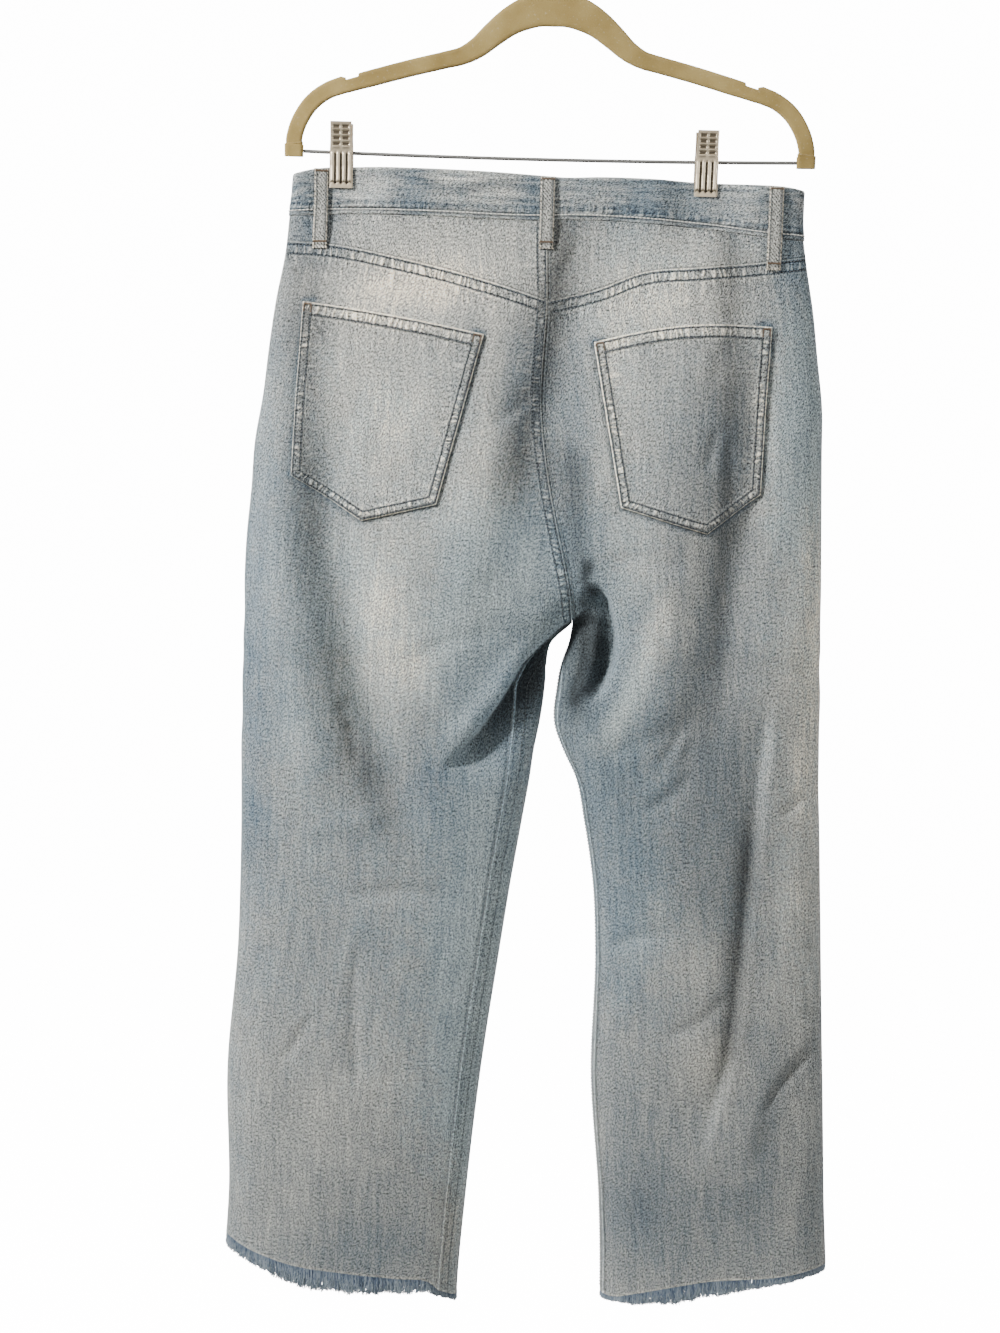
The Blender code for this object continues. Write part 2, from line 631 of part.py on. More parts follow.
# Half of the hanger's arm: the middle line's x and z, how far the edge is above
# and below it, and half the thickness.
Arm = namedtuple("Arm", "x z above below half")
ARM = (
    Arm(0, -99.5, 14.5, 13, 2.8), Arm(12, -99.8, 14.2, 13, 2.8),
    Arm(25, -103.5, 13.0, 12.5, 2.8), Arm(37.5, -110, 11.4, 11.2, 2.8),
    Arm(50, -119.5, 9.9, 10.2, 2.8), Arm(62.5, -130, 8.3, 8.8, 2.8),
    Arm(75, -137, 7.1, 7.4, 2.8), Arm(90, -141, 6.8, 7.0, 2.8),
    Arm(120, -148.5, 6.8, 6.9, 2.8), Arm(150, -156.8, 6.8, 6.8, 2.8),
    Arm(159, -159.4, 6.7, 6.5, 2.8), Arm(161, -160, 4.4, 6.4, 2.8),
    Arm(171, -163, 4.6, 6.2, 2.8), Arm(174, -163.7, 8.0, 6.2, 2.8),
    Arm(188, -168.7, 7.2, 6.4, 2.8), Arm(201, -178.7, 7.1, 6.5, 2.8),
    Arm(210.2, -192.5, 7.0, 6.6, 2.8), Arm(214.6, -205, 6.8, 6.8, 2.8),
    Arm(214.9, -211.5, 7.0, 7.0, 2.8), Arm(215.0, -212, 8.0, 8.0, 3.9),
    Arm(215.1, -221.5, 7.8, 7.8, 3.7),
)


BAR_END = 215.1 - 7.9 - GAP


def bar_z(x):
    """The bar's height: it sags a little between the end caps."""
    return HANGER_BAR_Z - BAR_SAG * (1 - (x / BAR_END) ** 2)


def arm_stations():
    """The arm's rows mirrored into a whole, left end to right end."""
    mirrored = [row._replace(x=-row.x) for row in reversed(ARM[1:])]
    return mirrored + list(ARM)


def make_hanger():
    """A moulded arch: one rounded section swept from end cap to end cap, then wire parts."""
    rows = arm_stations()
    middle = np.array([(row.x, row.z) for row in rows])
    tangent = np.gradient(middle, axis=0)
    tangent /= np.linalg.norm(tangent, axis=1, keepdims=True)
    rings = []
    for row, (tx, tz) in zip(rows, tangent):
        ring = []
        for across, out in ((-1, 0.62), (-0.62, 1), (0.62, 1), (1, 0.62), (1, -0.62), (0.62, -1),
                            (-0.62, -1), (-1, -0.62)):
            edge = row.above if out > 0 else row.below
            reach = edge * (1.0 if abs(out) == 1 else 1 - 1.1 / edge) * np.sign(out)
            ring.append((row.x - tz * reach, row.half * across, row.z + tx * reach))
        rings.append(ring)
    loft("hanger_body", rings, flock)
    wire("hanger_bar", [(x, 0, bar_z(x)) for x in np.linspace(-BAR_END, BAR_END, 13)],
         BAR_RADIUS, steel)


def make_hook():
    """A neck that swings out into an arc over the origin."""
    bend = HOOK_INSIDE + HOOK_WIRE
    centre = HOOK_WIRE - bend
    first, last = radians(-28), radians(205)
    start = np.array([bend * cos(first), centre + bend * sin(first)])
    slope = np.array([-sin(first), cos(first)])
    ends = (np.array([0, HUMP_TOP + GAP]), np.array([0, -60.0]), start - slope * 11, start)
    t = np.linspace(0, 1, 14)[:, None]
    neck = ((1 - t) ** 3 * ends[0] + 3 * (1 - t) ** 2 * t * ends[1] + 3 * (1 - t) * t**2 * ends[2]
            + t**3 * ends[3])
    angles = np.linspace(first, last, 26)[1:]
    arc = np.stack([bend * np.cos(angles), centre + bend * np.sin(angles)], axis=1)
    path = [(x, 0, z) for x, z in np.concatenate([neck, arc])]
    wire("hanger_hook", path, HOOK_WIRE, steel)


# A jaw's side view: height, how far its inside face is from the hanger's plane, how
# far its side flanges reach back towards that plane, and half its width.
Jaw = namedtuple("Jaw", "z inside flange half")
LIP = 0.3  # the flange of a jaw with none
JAW = (
    Jaw(CLIP_BOTTOM, 3.5, LIP, 9.7), Jaw(-228.5, 3.5, LIP, 9.7), Jaw(-225.5, 3.8, 1.9, 9.7),
    Jaw(-217.5, 4.3, 2.4, 9.6), Jaw(-209.0, 5.4, 2.6, 9.2), Jaw(-205.0, 6.1, 0.5, 9.0),
    Jaw(CLIP_TOP, 8.2, LIP, 8.9),
)


def jaw_rings(x, face, flanged):
    rings = []
    for row in JAW:
        half, bend = row.half, row.half - CLIP_PLATE
        inside, outside = row.inside, row.inside + CLIP_PLATE
        flange = inside - (row.flange if flanged else LIP)
        ring = ((-half, outside), (half, outside), (half, flange), (bend, flange),
                (bend, inside), (-bend, inside), (-bend, flange), (-half, flange))
        rings.append([(x + across, -face * out, row.z) for across, out in ring])
    return rings


def make_clips():
    """Two pressed jaws a clip, and the spring round the bar between them."""
    for word, x in CLIP_X.items():
        loft(f"clip_{word}_near", jaw_rings(x, BACK, True), steel)
        loft(f"clip_{word}_far", jaw_rings(x, FRONT, False), steel)
        inner, outer = BAR_RADIUS + GAP, SPRING_RADIUS
        ends = ((-SPRING_HALF, inner), (-SPRING_HALF, outer), (SPRING_HALF, outer), (SPRING_HALF, inner))
        sides = 16
        points, faces = [], []
        for end, radius in ends:
            points += [(x + end, radius * cos(a), bar_z(x) + radius * sin(a))
                       for a in np.linspace(0, 2 * pi, sides, endpoint=False)]
        for ring in range(4):
            for k in range(sides):
                a, b = ring * sides + k, ring * sides + (k + 1) % sides
                c, d = (a + sides) % (4 * sides), (b + sides) % (4 * sides)
                faces.append((a, b, d, c))
        add(f"clip_{word}_spring", mesh_of(f"clip_{word}_spring", points, faces), steel)


# ---------------------------------------------------------------- build

for old in list(bpy.data.objects):
    bpy.data.objects.remove(old)
jeans = bpy.data.collections.new("straight_leg_jeans")
bpy.context.scene.collection.children.link(jeans)
denim = material("denim", DENIM, 0.9)
denim_dark = material("denim_dark", DENIM_DARK, 0.9)
frayed = material("frayed_threads", FRAYED, 0.95)
flock = material("flocked_plastic", FLOCK, 0.95)
steel = material("plated_steel", STEEL, 0.3, 1.0)
brass = material("aged_brass", (0.60, 0.50, 0.34), 0.4, 1.0)

make_panels()
make_yokes()
make_pocket_facings()
make_waistband()
make_back_pockets()
make_loops()
make_fly()
make_button()
make_fringe()
make_hanger()
make_hook()
make_clips()
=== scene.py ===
"""Looks of straight leg jeans on a clip hanger, seen with their back to -Y.

Everything is worked out in millimetres, in the solids' own frame, and turned into metres when
a mesh is made. Every cloth piece is a grid on one shape, the function `cloth`: a side of the
garment, its back or front face, an angle round that half's section and a height give a point.
"""

from collections import namedtuple
from functools import partial
from itertools import pairwise
from math import cos, pi, radians, sin

import bpy
import numpy as np
from mathutils import Matrix, Vector


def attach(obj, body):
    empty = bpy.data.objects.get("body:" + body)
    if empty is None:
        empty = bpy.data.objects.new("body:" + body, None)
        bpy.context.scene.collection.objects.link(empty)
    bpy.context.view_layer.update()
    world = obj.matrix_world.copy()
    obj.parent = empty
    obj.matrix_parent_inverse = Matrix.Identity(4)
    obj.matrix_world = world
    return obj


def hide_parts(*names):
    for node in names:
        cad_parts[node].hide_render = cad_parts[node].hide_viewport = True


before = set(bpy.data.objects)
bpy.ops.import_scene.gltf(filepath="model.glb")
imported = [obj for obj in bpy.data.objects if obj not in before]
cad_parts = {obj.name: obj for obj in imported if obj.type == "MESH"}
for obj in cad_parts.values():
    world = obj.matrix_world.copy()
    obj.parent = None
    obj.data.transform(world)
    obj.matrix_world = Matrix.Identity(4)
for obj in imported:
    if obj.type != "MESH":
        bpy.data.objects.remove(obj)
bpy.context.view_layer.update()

MM = 0.001
LEFT, RIGHT, BOTH = -1, 1, 0
BACK, FRONT = 1, -1
SIDES = ((LEFT, "left"), (RIGHT, "right"))

# ---------------------------------------------------------------- camera

PITCH, ROLL = radians(10), radians(1.4)
EYE = Vector((-0.0315, -1.55, -0.379))
LENS, SENSOR = 48.18, 36


def make_camera():
    """A level camera turned down by PITCH about X and then rolled by ROLL about its own axis."""
    ahead = Vector((0, cos(PITCH), -sin(PITCH)))
    upright = Vector((0, sin(PITCH), cos(PITCH)))
    right = Vector((cos(ROLL), 0, 0)) + upright * sin(ROLL)
    up = upright * cos(ROLL) - Vector((sin(ROLL), 0, 0))
    lens = bpy.data.cameras.new("camera")
    lens.sensor_width, lens.lens = SENSOR, LENS
    camera = bpy.data.objects.new("camera", lens)
    rows = [(right[i], up[i], -ahead[i], EYE[i]) for i in range(3)]
    camera.matrix_world = Matrix(rows + [(0, 0, 0, 1)])
    bpy.context.scene.collection.objects.link(camera)
    bpy.context.scene.camera = camera


make_camera()

# ---------------------------------------------------------------- sizes of the garment

GAP = 0.3  # between two pieces that touch
# how thick each kind of cloth is
CLOTH, BAND, LOOP, PATCH, FACING, SHIELD, FRINGE = 1.4, 2.6, 1.7, 1.2, 1.0, 1.4, 1.2
PATCH_LIFT = 0.7  # a patch stands this far off the panel
LOOP_WIDTH = 12.5
CROTCH_Z = -612.0
SEAT_ROUND = 74.0  # how far above the crotch the seat starts to curve under
HALF_WAIST = 215.0
CENTRE_GAP = 0.2  # each half's distance from the centre seam
INSEAM_STARTS = 60.0  # below the crotch, where the inseam has moved onto the back
BAND_OUT = 0.9  # the waistband's outer face, off the panels'
OVERLAP_TOP, OVERLAP_UNDER = 0.52, 0.66  # how far its ends turn past the centre front
SCOOP_STARTS, SCOOP_DEEP = 0.5, 76.0  # a front pocket's mouth: its share across, and its depth
SHOWN_FACING = 16.0  # how far the facing goes on below the mouth

# At each height: x of the left leg's outer and inner fold and of the right leg's inner and
# outer fold, half the depth, and how square the section is.
Section = namedtuple("Section", "z left_out left_in right_in right_out depth square")
SECTIONS = (
    Section(-1300, -282, -58, 76, 291, 32, 3.0), Section(-1240, -278, -57, 76, 289, 32, 3.0),
    Section(-1150, -272, -51, 72, 282, 31, 3.0), Section(-1030, -273, -40, 61, 274, 30, 3.0),
    Section(-910, -263, -25, 61, 266, 29, 3.0), Section(-850, -261, -17, 57, 262, 29, 3.0),
    Section(-790, -260, -8, 47, 258, 29, 3.0), Section(-750, -260, -2, 38, 255, 29, 3.0),
    Section(-725, -260, 1, 26, 254, 29, 3.0), Section(-703, -259, 5, 18, 253, 29, 3.0),
    Section(-670, -259, 9, 19, 252, 30, 3.1), Section(-645, -258, 10, 23, 250, 30, 3.1),
    Section(-630, -258, 13, 28, 250, 31, 3.1), Section(-612, -257, 31, 31, 249, 31, 3.1),
    Section(-580, -257, 27, 27, 248, 32, 3.2), Section(-540, -255, 18, 18, 246, 33, 3.3),
    Section(-500, -251, 9, 9, 244, 33, 3.5), Section(-460, -248, 2, 2, 242, 32, 3.8),
    Section(-420, -241, -2, -2, 240, 29, 4.2), Section(-380, -236, -1, -1, 234, 25, 5.0),
    Section(-340, -230, 1, 1, 228, 19, 6.5), Section(-300, -222, 0, 0, 220, 13, 10.0),
    Section(-268, -218.5, -1, -1, 215, 10, 16.0), Section(-225, -214, -1, -1, 215, 9, 20.0),
)

# Seams by their share of the way to the side, the hems with the length of their threads, and
# the waistband's edges by x.
YOKE_SEAM = {
    LEFT: ((0, -335), (0.18, -323), (0.37, -312), (0.56, -303), (0.83, -293), (1, -291)),
    RIGHT: ((0, -335), (0.2, -324), (0.35, -311), (0.58, -305), (0.81, -300), (1, -294)),
}
HEM = {
    (LEFT, BACK): ((0, -1238, 6), (0.05, -1229, 11), (0.2, -1222, 15.5), (0.4, -1216, 20),
                   (0.55, -1211, 19), (0.7, -1202, 14), (0.85, -1194, 13), (1, -1192, 13)),
    (LEFT, FRONT): ((0, -1238, 6), (0.1, -1248, 6), (0.2, -1247, 9), (0.4, -1236, 13),
                    (0.7, -1212, 13), (1, -1192, 13)),
    (RIGHT, BACK): ((0, -1243, 6), (0.1, -1241, 6), (0.2, -1234, 11), (0.35, -1222, 17),
                    (0.45, -1216, 16), (0.6, -1213, 10), (0.8, -1208, 7), (1, -1208, 7)),
    (RIGHT, FRONT): ((0, -1243, 6), (0.3, -1240, 12), (0.6, -1228, 13), (1, -1208, 7)),
}
BAND_TOP = ((-216, -236), (-198, -231.5), (-160, -229), (-125, -229), (-41, -231), (-5, -233),
            (14, -234), (42, -233), (90, -233.5), (126, -235), (165, -236), (205, -238),
            (216, -240))
BAND_BOTTOM = ((-216, -270.5), (-171, -268), (-99, -268), (-7, -269.5), (18, -268.5), (93, -270.5),
               (144, -274.5), (178, -278.5), (216, -281))
CLIP_X = {"left": -175.0, "right": 131.5}
# Half the depth of the cloth in a clip, how far it stays flat to each side of the clip's middle
# and where that has faded, and the heights between which it fades below.
PINCHED, PINCH_FLAT, PINCH_FADES = 1.95, 11.0, 45.0
PINCH_BELOW = (-247.0, -302.0)

# Back pocket corners: top inner, top outer, bottom outer, tip, bottom inner.
Patch = namedtuple("Patch", "top_in top_out bottom_out tip bottom_in rise")
POCKETS = {
    "left": Patch((-52, -365), (-205, -341), (-214, -487), (-153, -524), (-89, -508), 2),
    "right": Patch((41, -369), (191, -353), (188, -494), (142, -528), (68, -507), 7),
}
Loop = namedtuple("Loop", "face x bottom")
LOOPS = {
    "back_left": Loop(BACK, -191.6, -297.0), "back_centre": Loop(BACK, -1.3, -293.0),
    "back_right": Loop(BACK, 190.2, -306.0), "front_left": Loop(FRONT, -92.0, -296.0),
    "front_right": Loop(FRONT, 92.0, -299.0),
}
FLY_Z = (-274.0, -420.0)

# Folds laid one by one. A step is low on its left hand, going along its points; a trough or a
# ridge is even on both. width is across the slope, reach how far the low ground goes on. A fold
# of BOTH sides runs on over the centre back.
Fold = namedtuple("Fold", "side face kind depth width reach points")
# the leg's cloth hanging over itself below the crotch, on each side
LEFT_HANG = Fold(LEFT, BACK, "step", 15, 4, 26, (
    (46, -594), (9, -629), (-11, -649), (-32, -685), (-49, -709), (-71, -731), (-83, -745)))
RIGHT_HANG = Fold(RIGHT, BACK, "step", 15, 4, 22, (
    (47, -681), (59, -663), (66, -643), (68, -620), (61, -590), (48, -568)))
FOLDS = (
    LEFT_HANG,
    Fold(LEFT, BACK, "ridge", 3, 9, 0,
         ((10, -612), (-14, -637), (-37, -672), (-58, -699), (-82, -724))),
    RIGHT_HANG,
    Fold(RIGHT, BACK, "ridge", 5, 4.5, 0,
         ((48, -596), (50, -611), (48, -638), (43, -659), (37, -684))),
    Fold(RIGHT, BACK, "step", 9, 4.5, 30,
         ((160, -1120), (174, -1052), (187, -1008), (191, -960), (196, -880), (200, -800),
          (204, -720), (206, -650))),
    # the hollow down the seat, the bulges on each side of it, and the hollows beyond them
    Fold(BOTH, BACK, "trough", 6.5, 28, 0,
         ((8, -296), (11, -360), (14, -420), (16, -480), (17, -540), (22, -590))),
    Fold(RIGHT, BACK, "ridge", 5, 34, 0,
         ((108, -320), (114, -400), (114, -500), (116, -600), (100, -700), (90, -760))),
    Fold(RIGHT, BACK, "trough", 5.5, 20, 0,
         ((176, -330), (186, -425), (178, -500), (166, -580), (156, -634), (140, -719),
          (128, -775))),
    Fold(LEFT, BACK, "trough", 6.5, 22, 0,
         ((-184, -420), (-185, -500), (-178, -550), (-168, -600), (-150, -672), (-130, -750),
          (-112, -830))),
    Fold(LEFT, BACK, "ridge", 3.5, 18, 0,
         ((-224, -470), (-222, -560), (-212, -640), (-198, -720), (-180, -800))),
    Fold(LEFT, BACK, "ridge", 3.5, 26, 0, ((-52, -440), (-56, -500), (-58, -560), (-64, -610))),
    Fold(RIGHT, BACK, "trough", 1.6, 4, 0, ((129, -697), (121, -714), (112, -733))),
    Fold(RIGHT, BACK, "ridge", 1.3, 5, 0, ((136, -700), (127, -718), (119, -735))),
    Fold(RIGHT, BACK, "trough", 1.4, 9, 0, ((60, -728), (90, -713), (140, -690))),
    Fold(RIGHT, BACK, "trough", 1.4, 7, 0, ((96, -779), (118, -762), (143, -736))),
    Fold(RIGHT, BACK, "ridge", 1.2, 8, 0, ((90, -765), (115, -750), (135, -728))),
    Fold(RIGHT, BACK, "ridge", 1.3, 14, 0, ((196, -640), (204, -693), (210, -772), (202, -840))),
    Fold(RIGHT, BACK, "trough", 1.8, 5, 0, ((218, -777), (236, -762), (256, -754))),
    Fold(RIGHT, BACK, "trough", 3.2, 6, 0, ((264, -990), (248, -1006), (230, -1029), (216, -1062))),
    Fold(RIGHT, BACK, "trough", 2.4, 4, 0, ((243, -896), (254, -903), (264, -908))),
    Fold(RIGHT, BACK, "trough", 2.0, 4, 0, ((246, -957), (255, -964), (266, -968))),
    Fold(RIGHT, BACK, "trough", 1.6, 4, 0, ((101, -1146), (104, -1165), (108, -1190))),
    Fold(RIGHT, BACK, "trough", 1.8, 6, 0, ((72, -905), (96, -890), (130, -884))),
    Fold(RIGHT, BACK, "trough", 1.6, 7, 0, ((120, -985), (158, -968), (184, -940))),
    Fold(RIGHT, BACK, "trough", 1.8, 5, 0, ((112, -338), (146, -345), (176, -340))),
    Fold(RIGHT, BACK, "trough", 1.7, 7, 0, ((146, -372), (147, -388), (144, -404))),
    Fold(RIGHT, BACK, "trough", 1.9, 6, 0, ((147, -436), (143, -458), (138, -476))),
    Fold(RIGHT, BACK, "trough", 1.9, 6, 0, ((157, -444), (160, -475), (164, -508))),
    Fold(RIGHT, BACK, "trough", 2.0, 8, 0, ((56, -555), (90, -548), (128, -562))),
    Fold(RIGHT, BACK, "trough", 1.2, 4, 0, ((30, -283), (13, -311), (10, -332))),
    Fold(LEFT, BACK, "step", 3.0, 2.5, 14, ((-42, -444), (-22, -431), (-3, -414))),
    Fold(LEFT, BACK, "trough", 2.4, 7, 0, ((-170, -676), (-162, -708), (-152, -744))),
    Fold(LEFT, BACK, "trough", 1.8, 4, 0, ((-164, -700), (-158, -712), (-150, -718))),
    Fold(LEFT, BACK, "trough", 2.0, 6, 0,
         ((-147, -890), (-156, -940), (-154, -993), (-149, -1040))),
    Fold(LEFT, BACK, "trough", 1.8, 5, 0, ((-192, -968), (-206, -993), (-220, -1016))),
    Fold(LEFT, BACK, "trough", 1.8, 9, 0, ((-60, -566), (-30, -580), (4, -598))),
    Fold(LEFT, BACK, "trough", 1.5, 9, 0, ((-110, -640), (-70, -625), (-24, -618))),
    Fold(LEFT, BACK, "trough", 1.5, 7, 0, ((-60, -862), (-110, -850), (-170, -858))),
    Fold(LEFT, BACK, "ridge", 1.4, 10, 0, ((-100, -760), (-150, -790), (-215, -800))),
    Fold(LEFT, BACK, "trough", 1.2, 5, 0, ((-238, -905), (-222, -925), (-204, -938))),
    # the hidden front: soft whiskers from the crotch to the hips, and slack at the knees
    Fold(LEFT, FRONT, "trough", 8, 14, 0, ((-2, -600), (-60, -590), (-120, -560))),
    Fold(LEFT, FRONT, "trough", 6, 15, 0, ((-10, -690), (-70, -725), (-130, -735))),
    Fold(RIGHT, FRONT, "trough", 8, 14, 0, ((62, -604), (120, -586), (176, -550))),
    Fold(RIGHT, FRONT, "trough", 6, 16, 0, ((60, -700), (120, -742), (170, -750))),
    Fold(LEFT, FRONT, "trough", 2.6, 7, 0, ((-24, -540), (-90, -520), (-165, -480))),
    Fold(LEFT, FRONT, "trough", 2.2, 6, 0, ((-20, -500), (-80, -474), (-150, -448))),
    Fold(LEFT, FRONT, "trough", 1.8, 6, 0, ((-18, -462), (-66, -436), (-120, -420))),
    Fold(RIGHT, FRONT, "trough", 2.6, 7, 0, ((36, -548), (96, -524), (170, -492))),
    Fold(RIGHT, FRONT, "trough", 2.2, 6, 0, ((30, -506), (88, -482), (150, -452))),
    Fold(RIGHT, FRONT, "trough", 1.8, 6, 0, ((20, -468), (70, -442), (118, -428))),
    Fold(LEFT, FRONT, "trough", 2.4, 7, 0, ((-60, -842), (-120, -826), (-200, -838))),
    Fold(LEFT, FRONT, "trough", 2.0, 6, 0, ((-50, -884), (-110, -896), (-190, -880))),
    Fold(RIGHT, FRONT, "trough", 2.4, 7, 0, ((90, -846), (150, -832), (214, -846))),
    Fold(RIGHT, FRONT, "trough", 2.0, 6, 0, ((84, -900), (150, -890), (206, -906))),
    Fold(LEFT, FRONT, "ridge", 2.2, 12, 0, ((-170, -960), (-176, -1040), (-170, -1130))),
    Fold(RIGHT, FRONT, "ridge", 2.2, 12, 0, ((176, -950), (182, -1040), (176, -1120))),
)

# Worn and dark places, some of them painted light and painted shade where the cloth faces towards
# or away from the light or lies in a fold's shadow: the middle's x and z, half its width and
# height, and how much paler.
Fade = namedtuple("Fade", "x z wide tall amount")
FADES = {
    BACK: (
        Fade(-134, -600, 38, 90, 0.32), Fade(-98, -326, 62, 24, 0.36),
        Fade(92, -328, 62, 34, 0.34), Fade(-60, -288, 70, 26, 0.14), Fade(93, -288, 60, 20, 0.07),
        Fade(-136, -425, 62, 62, 0.26), Fade(112, -392, 54, 40, 0.02),
        Fade(-64, -510, 36, 42, 0.20), Fade(-26, -548, 14, 36, -0.10),
        Fade(-22, -388, 18, 30, -0.12), Fade(-34, -431, 14, 26, -0.10),
        Fade(30, -470, 30, 110, -0.14), Fade(150, -455, 40, 40, -0.12),
        Fade(90, -560, 26, 50, 0.04), Fade(-175, -1085, 60, 110, 0.06),
        Fade(132, -612, 42, 70, -0.15), Fade(238, -870, 22, 110, 0.14),
        Fade(225, -1030, 24, 70, -0.08), Fade(-175, -860, 60, 120, -0.02),
        Fade(-252, -680, 20, 200, -0.21), Fade(-262, -1040, 18, 160, 0.04),
        Fade(-222, -350, 22, 70, -0.02), Fade(222, -430, 24, 110, 0.02),
        Fade(212, -310, 20, 30, -0.10), Fade(-150, -335, 34, 56, 0.20),
        Fade(-130, -498, 36, 36, 0.08), Fade(-24, -700, 30, 60, -0.20),
        Fade(-44, -1000, 30, 230, 0.12), Fade(66, -740, 34, 90, -0.12),
        Fade(74, -900, 30, 150, -0.08), Fade(200, -1140, 90, 60, -0.12),
        Fade(188, -720, 42, 90, -0.07), Fade(150, -820, 60, 80, -0.07),
        Fade(240, -640, 32, 190, 0.35), Fade(-198, -282, 22, 26, -0.24),
        Fade(205, -292, 16, 26, -0.12), Fade(-80, -760, 26, 40, -0.10),
        Fade(-150, -1190, 90, 40, -0.08), Fade(-205, -760, 30, 60, 0.04),
        Fade(-140, -1150, 48, 90, -0.07), Fade(162, -1005, 26, 36, 0.20),
        Fade(117, -900, 24, 40, 0.12), Fade(112, -1155, 36, 85, -0.11),
        Fade(-95, -752, 26, 24, -0.12), Fade(190, -445, 14, 70, 0.26),
        Fade(-118, -1050, 34, 34, 0.08), Fade(-62, -1165, 16, 60, 0.18),
        Fade(136, -735, 40, 50, -0.07), Fade(150, -915, 16, 24, 0.12),
        Fade(246, -1090, 16, 80, 0.14), Fade(-175, -1195, 40, 26, -0.04),
    ),
    FRONT: (
        Fade(-130, -620, 50, 150, 0.34), Fade(135, -620, 50, 150, 0.34),
        Fade(-110, -440, 70, 90, 0.12), Fade(110, -440, 70, 90, 0.12),
        Fade(0, -560, 50, 60, -0.24), Fade(-160, -860, 60, 80, 0.14),
        Fade(165, -860, 60, 80, 0.14), Fade(-252, -700, 22, 300, -0.2),
        Fade(250, -700, 22, 300, -0.2), Fade(-20, -800, 24, 220, -0.18),
        Fade(66, -800, 24, 220, -0.18),
    ),
}

# ---------------------------------------------------------------- the garment's shape


def smooth(x, xs, ys):
    """A smooth curve through (xs, ys), read at x: cubic pieces whose slopes are the points' own."""
    xs, ys = np.asarray(xs, float), np.asarray(ys, float)
    slope = np.gradient(ys, xs)
    x = np.clip(x, xs[0], xs[-1])
    i = np.clip(np.searchsorted(xs, x, side="right") - 1, 0, len(xs) - 2)
    h = xs[i + 1] - xs[i]
    t = (x - xs[i]) / h
    start = (1 + 2 * t) * (1 - t) ** 2 * ys[i] + t * (1 - t) ** 2 * h * slope[i]
    end = t**2 * (3 - 2 * t) * ys[i + 1] + t**2 * (t - 1) * h * slope[i + 1]
    return start + end


def ramp(x, low, high):
    """0 below low, 1 above high, and a smooth rise between them."""
    t = np.clip((x - low) / (high - low), 0, 1)
    return t * t * (3 - 2 * t)


def bell(off, width):
    """A bell curve: 1 at 0, and 1/e at width."""
    return np.exp(-((off / width) ** 2))


def share_of(angle):
    """The share of the way from the centre seam or inner fold to the side, at an angle."""
    return (1 - np.cos(angle)) / 2


def column(name, z):
    """A column of SECTIONS read at z. The inner folds part at the crotch, with a corner there."""
    legs = [row for row in SECTIONS if row.z <= CROTCH_Z]
    body = [row for row in SECTIONS if row.z >= CROTCH_Z]
    if not name.endswith("_in"):
        return smooth(z, [row.z for row in SECTIONS], [getattr(row, name) for row in SECTIONS])
    below = smooth(z, [row.z for row in legs], [getattr(row, name) for row in legs])
    above = smooth(z, [row.z for row in body], [getattr(row, name) for row in body])
    return np.where(z < CROTCH_Z, below, above)


def along(table, x, column=1):
    """A table of points read at x: its first column is x, and the column asked for is read."""
    return smooth(x, [row[0] for row in table], [row[column] for row in table])


def inseam_angle(side, z):
    """Where the inseam lies on the section: on the inner fold at the crotch, then on the back."""
    onto_back = 0.56 if side == LEFT else 0.2
    return onto_back * ramp(CROTCH_Z - z, 0, INSEAM_STARTS)


def pinch(x, z):
    """How hard the clips squeeze the cloth at a point, 0 to 1."""
    grip = sum(1 - ramp(np.abs(x - clip), PINCH_FLAT, PINCH_FADES) for clip in CLIP_X.values())
    return grip * ramp(z, PINCH_BELOW[1], PINCH_BELOW[0])


def nearest_on(points, x, z):
    """For each (x, z): how far it is from a line of points, on which hand, and how far along."""
    points = np.array(points, float)
    lengths = np.linalg.norm(np.diff(points, axis=0), axis=1)
    nearest = np.full(np.shape(x), np.inf)
    hand, travelled, start = np.zeros(np.shape(x)), np.zeros(np.shape(x)), 0.0
    for (a, b), length in zip(pairwise(points), lengths):
        d = (b - a) / length
        t = np.clip((x - a[0]) * d[0] + (z - a[1]) * d[1], 0, length)
        away = np.hypot(x - a[0] - t * d[0], z - a[1] - t * d[1])
        closer = away < nearest
        hand = np.where(closer, np.sign(d[0] * (z - a[1]) - d[1] * (x - a[0])), hand)
        travelled = np.where(closer, start + t, travelled)
        nearest = np.minimum(nearest, away)
        start += length
    return nearest, hand, travelled / start


def fold_height(fold, x, z):
    """How far one fold moves the cloth: the distance to its line, as a step, trough or ridge."""
    nearest, hand, share = nearest_on(fold.points, x, z)
    ends = ramp(share, 0, 0.22) * ramp(1 - share, 0, 0.22)
    if fold.kind == "step":
        low = ramp(hand * nearest, -fold.width, fold.width) * bell(nearest, fold.reach)
        return -fold.depth * ends * low
    sign = -1 if fold.kind == "trough" else 1
    return sign * fold.depth * ends * bell(nearest, fold.width)


def slack(side, face, x, z):
    """Soft unevenness: crossed sine waves 60 to 180 mm long, and fainter ones half as long."""
    shift = 1.7 * side + 0.9 * face
    long = np.sin(x / 27 + z / 71 + shift) * np.sin(z / 49 - x / 83 + 2 * shift)
    short = np.sin(x / 11.5 + z / 26 + 3 * shift) * np.sin(z / 19 - x / 41 + shift)
    return (long + 0.4 * short) * ramp(-z, 330, 450)


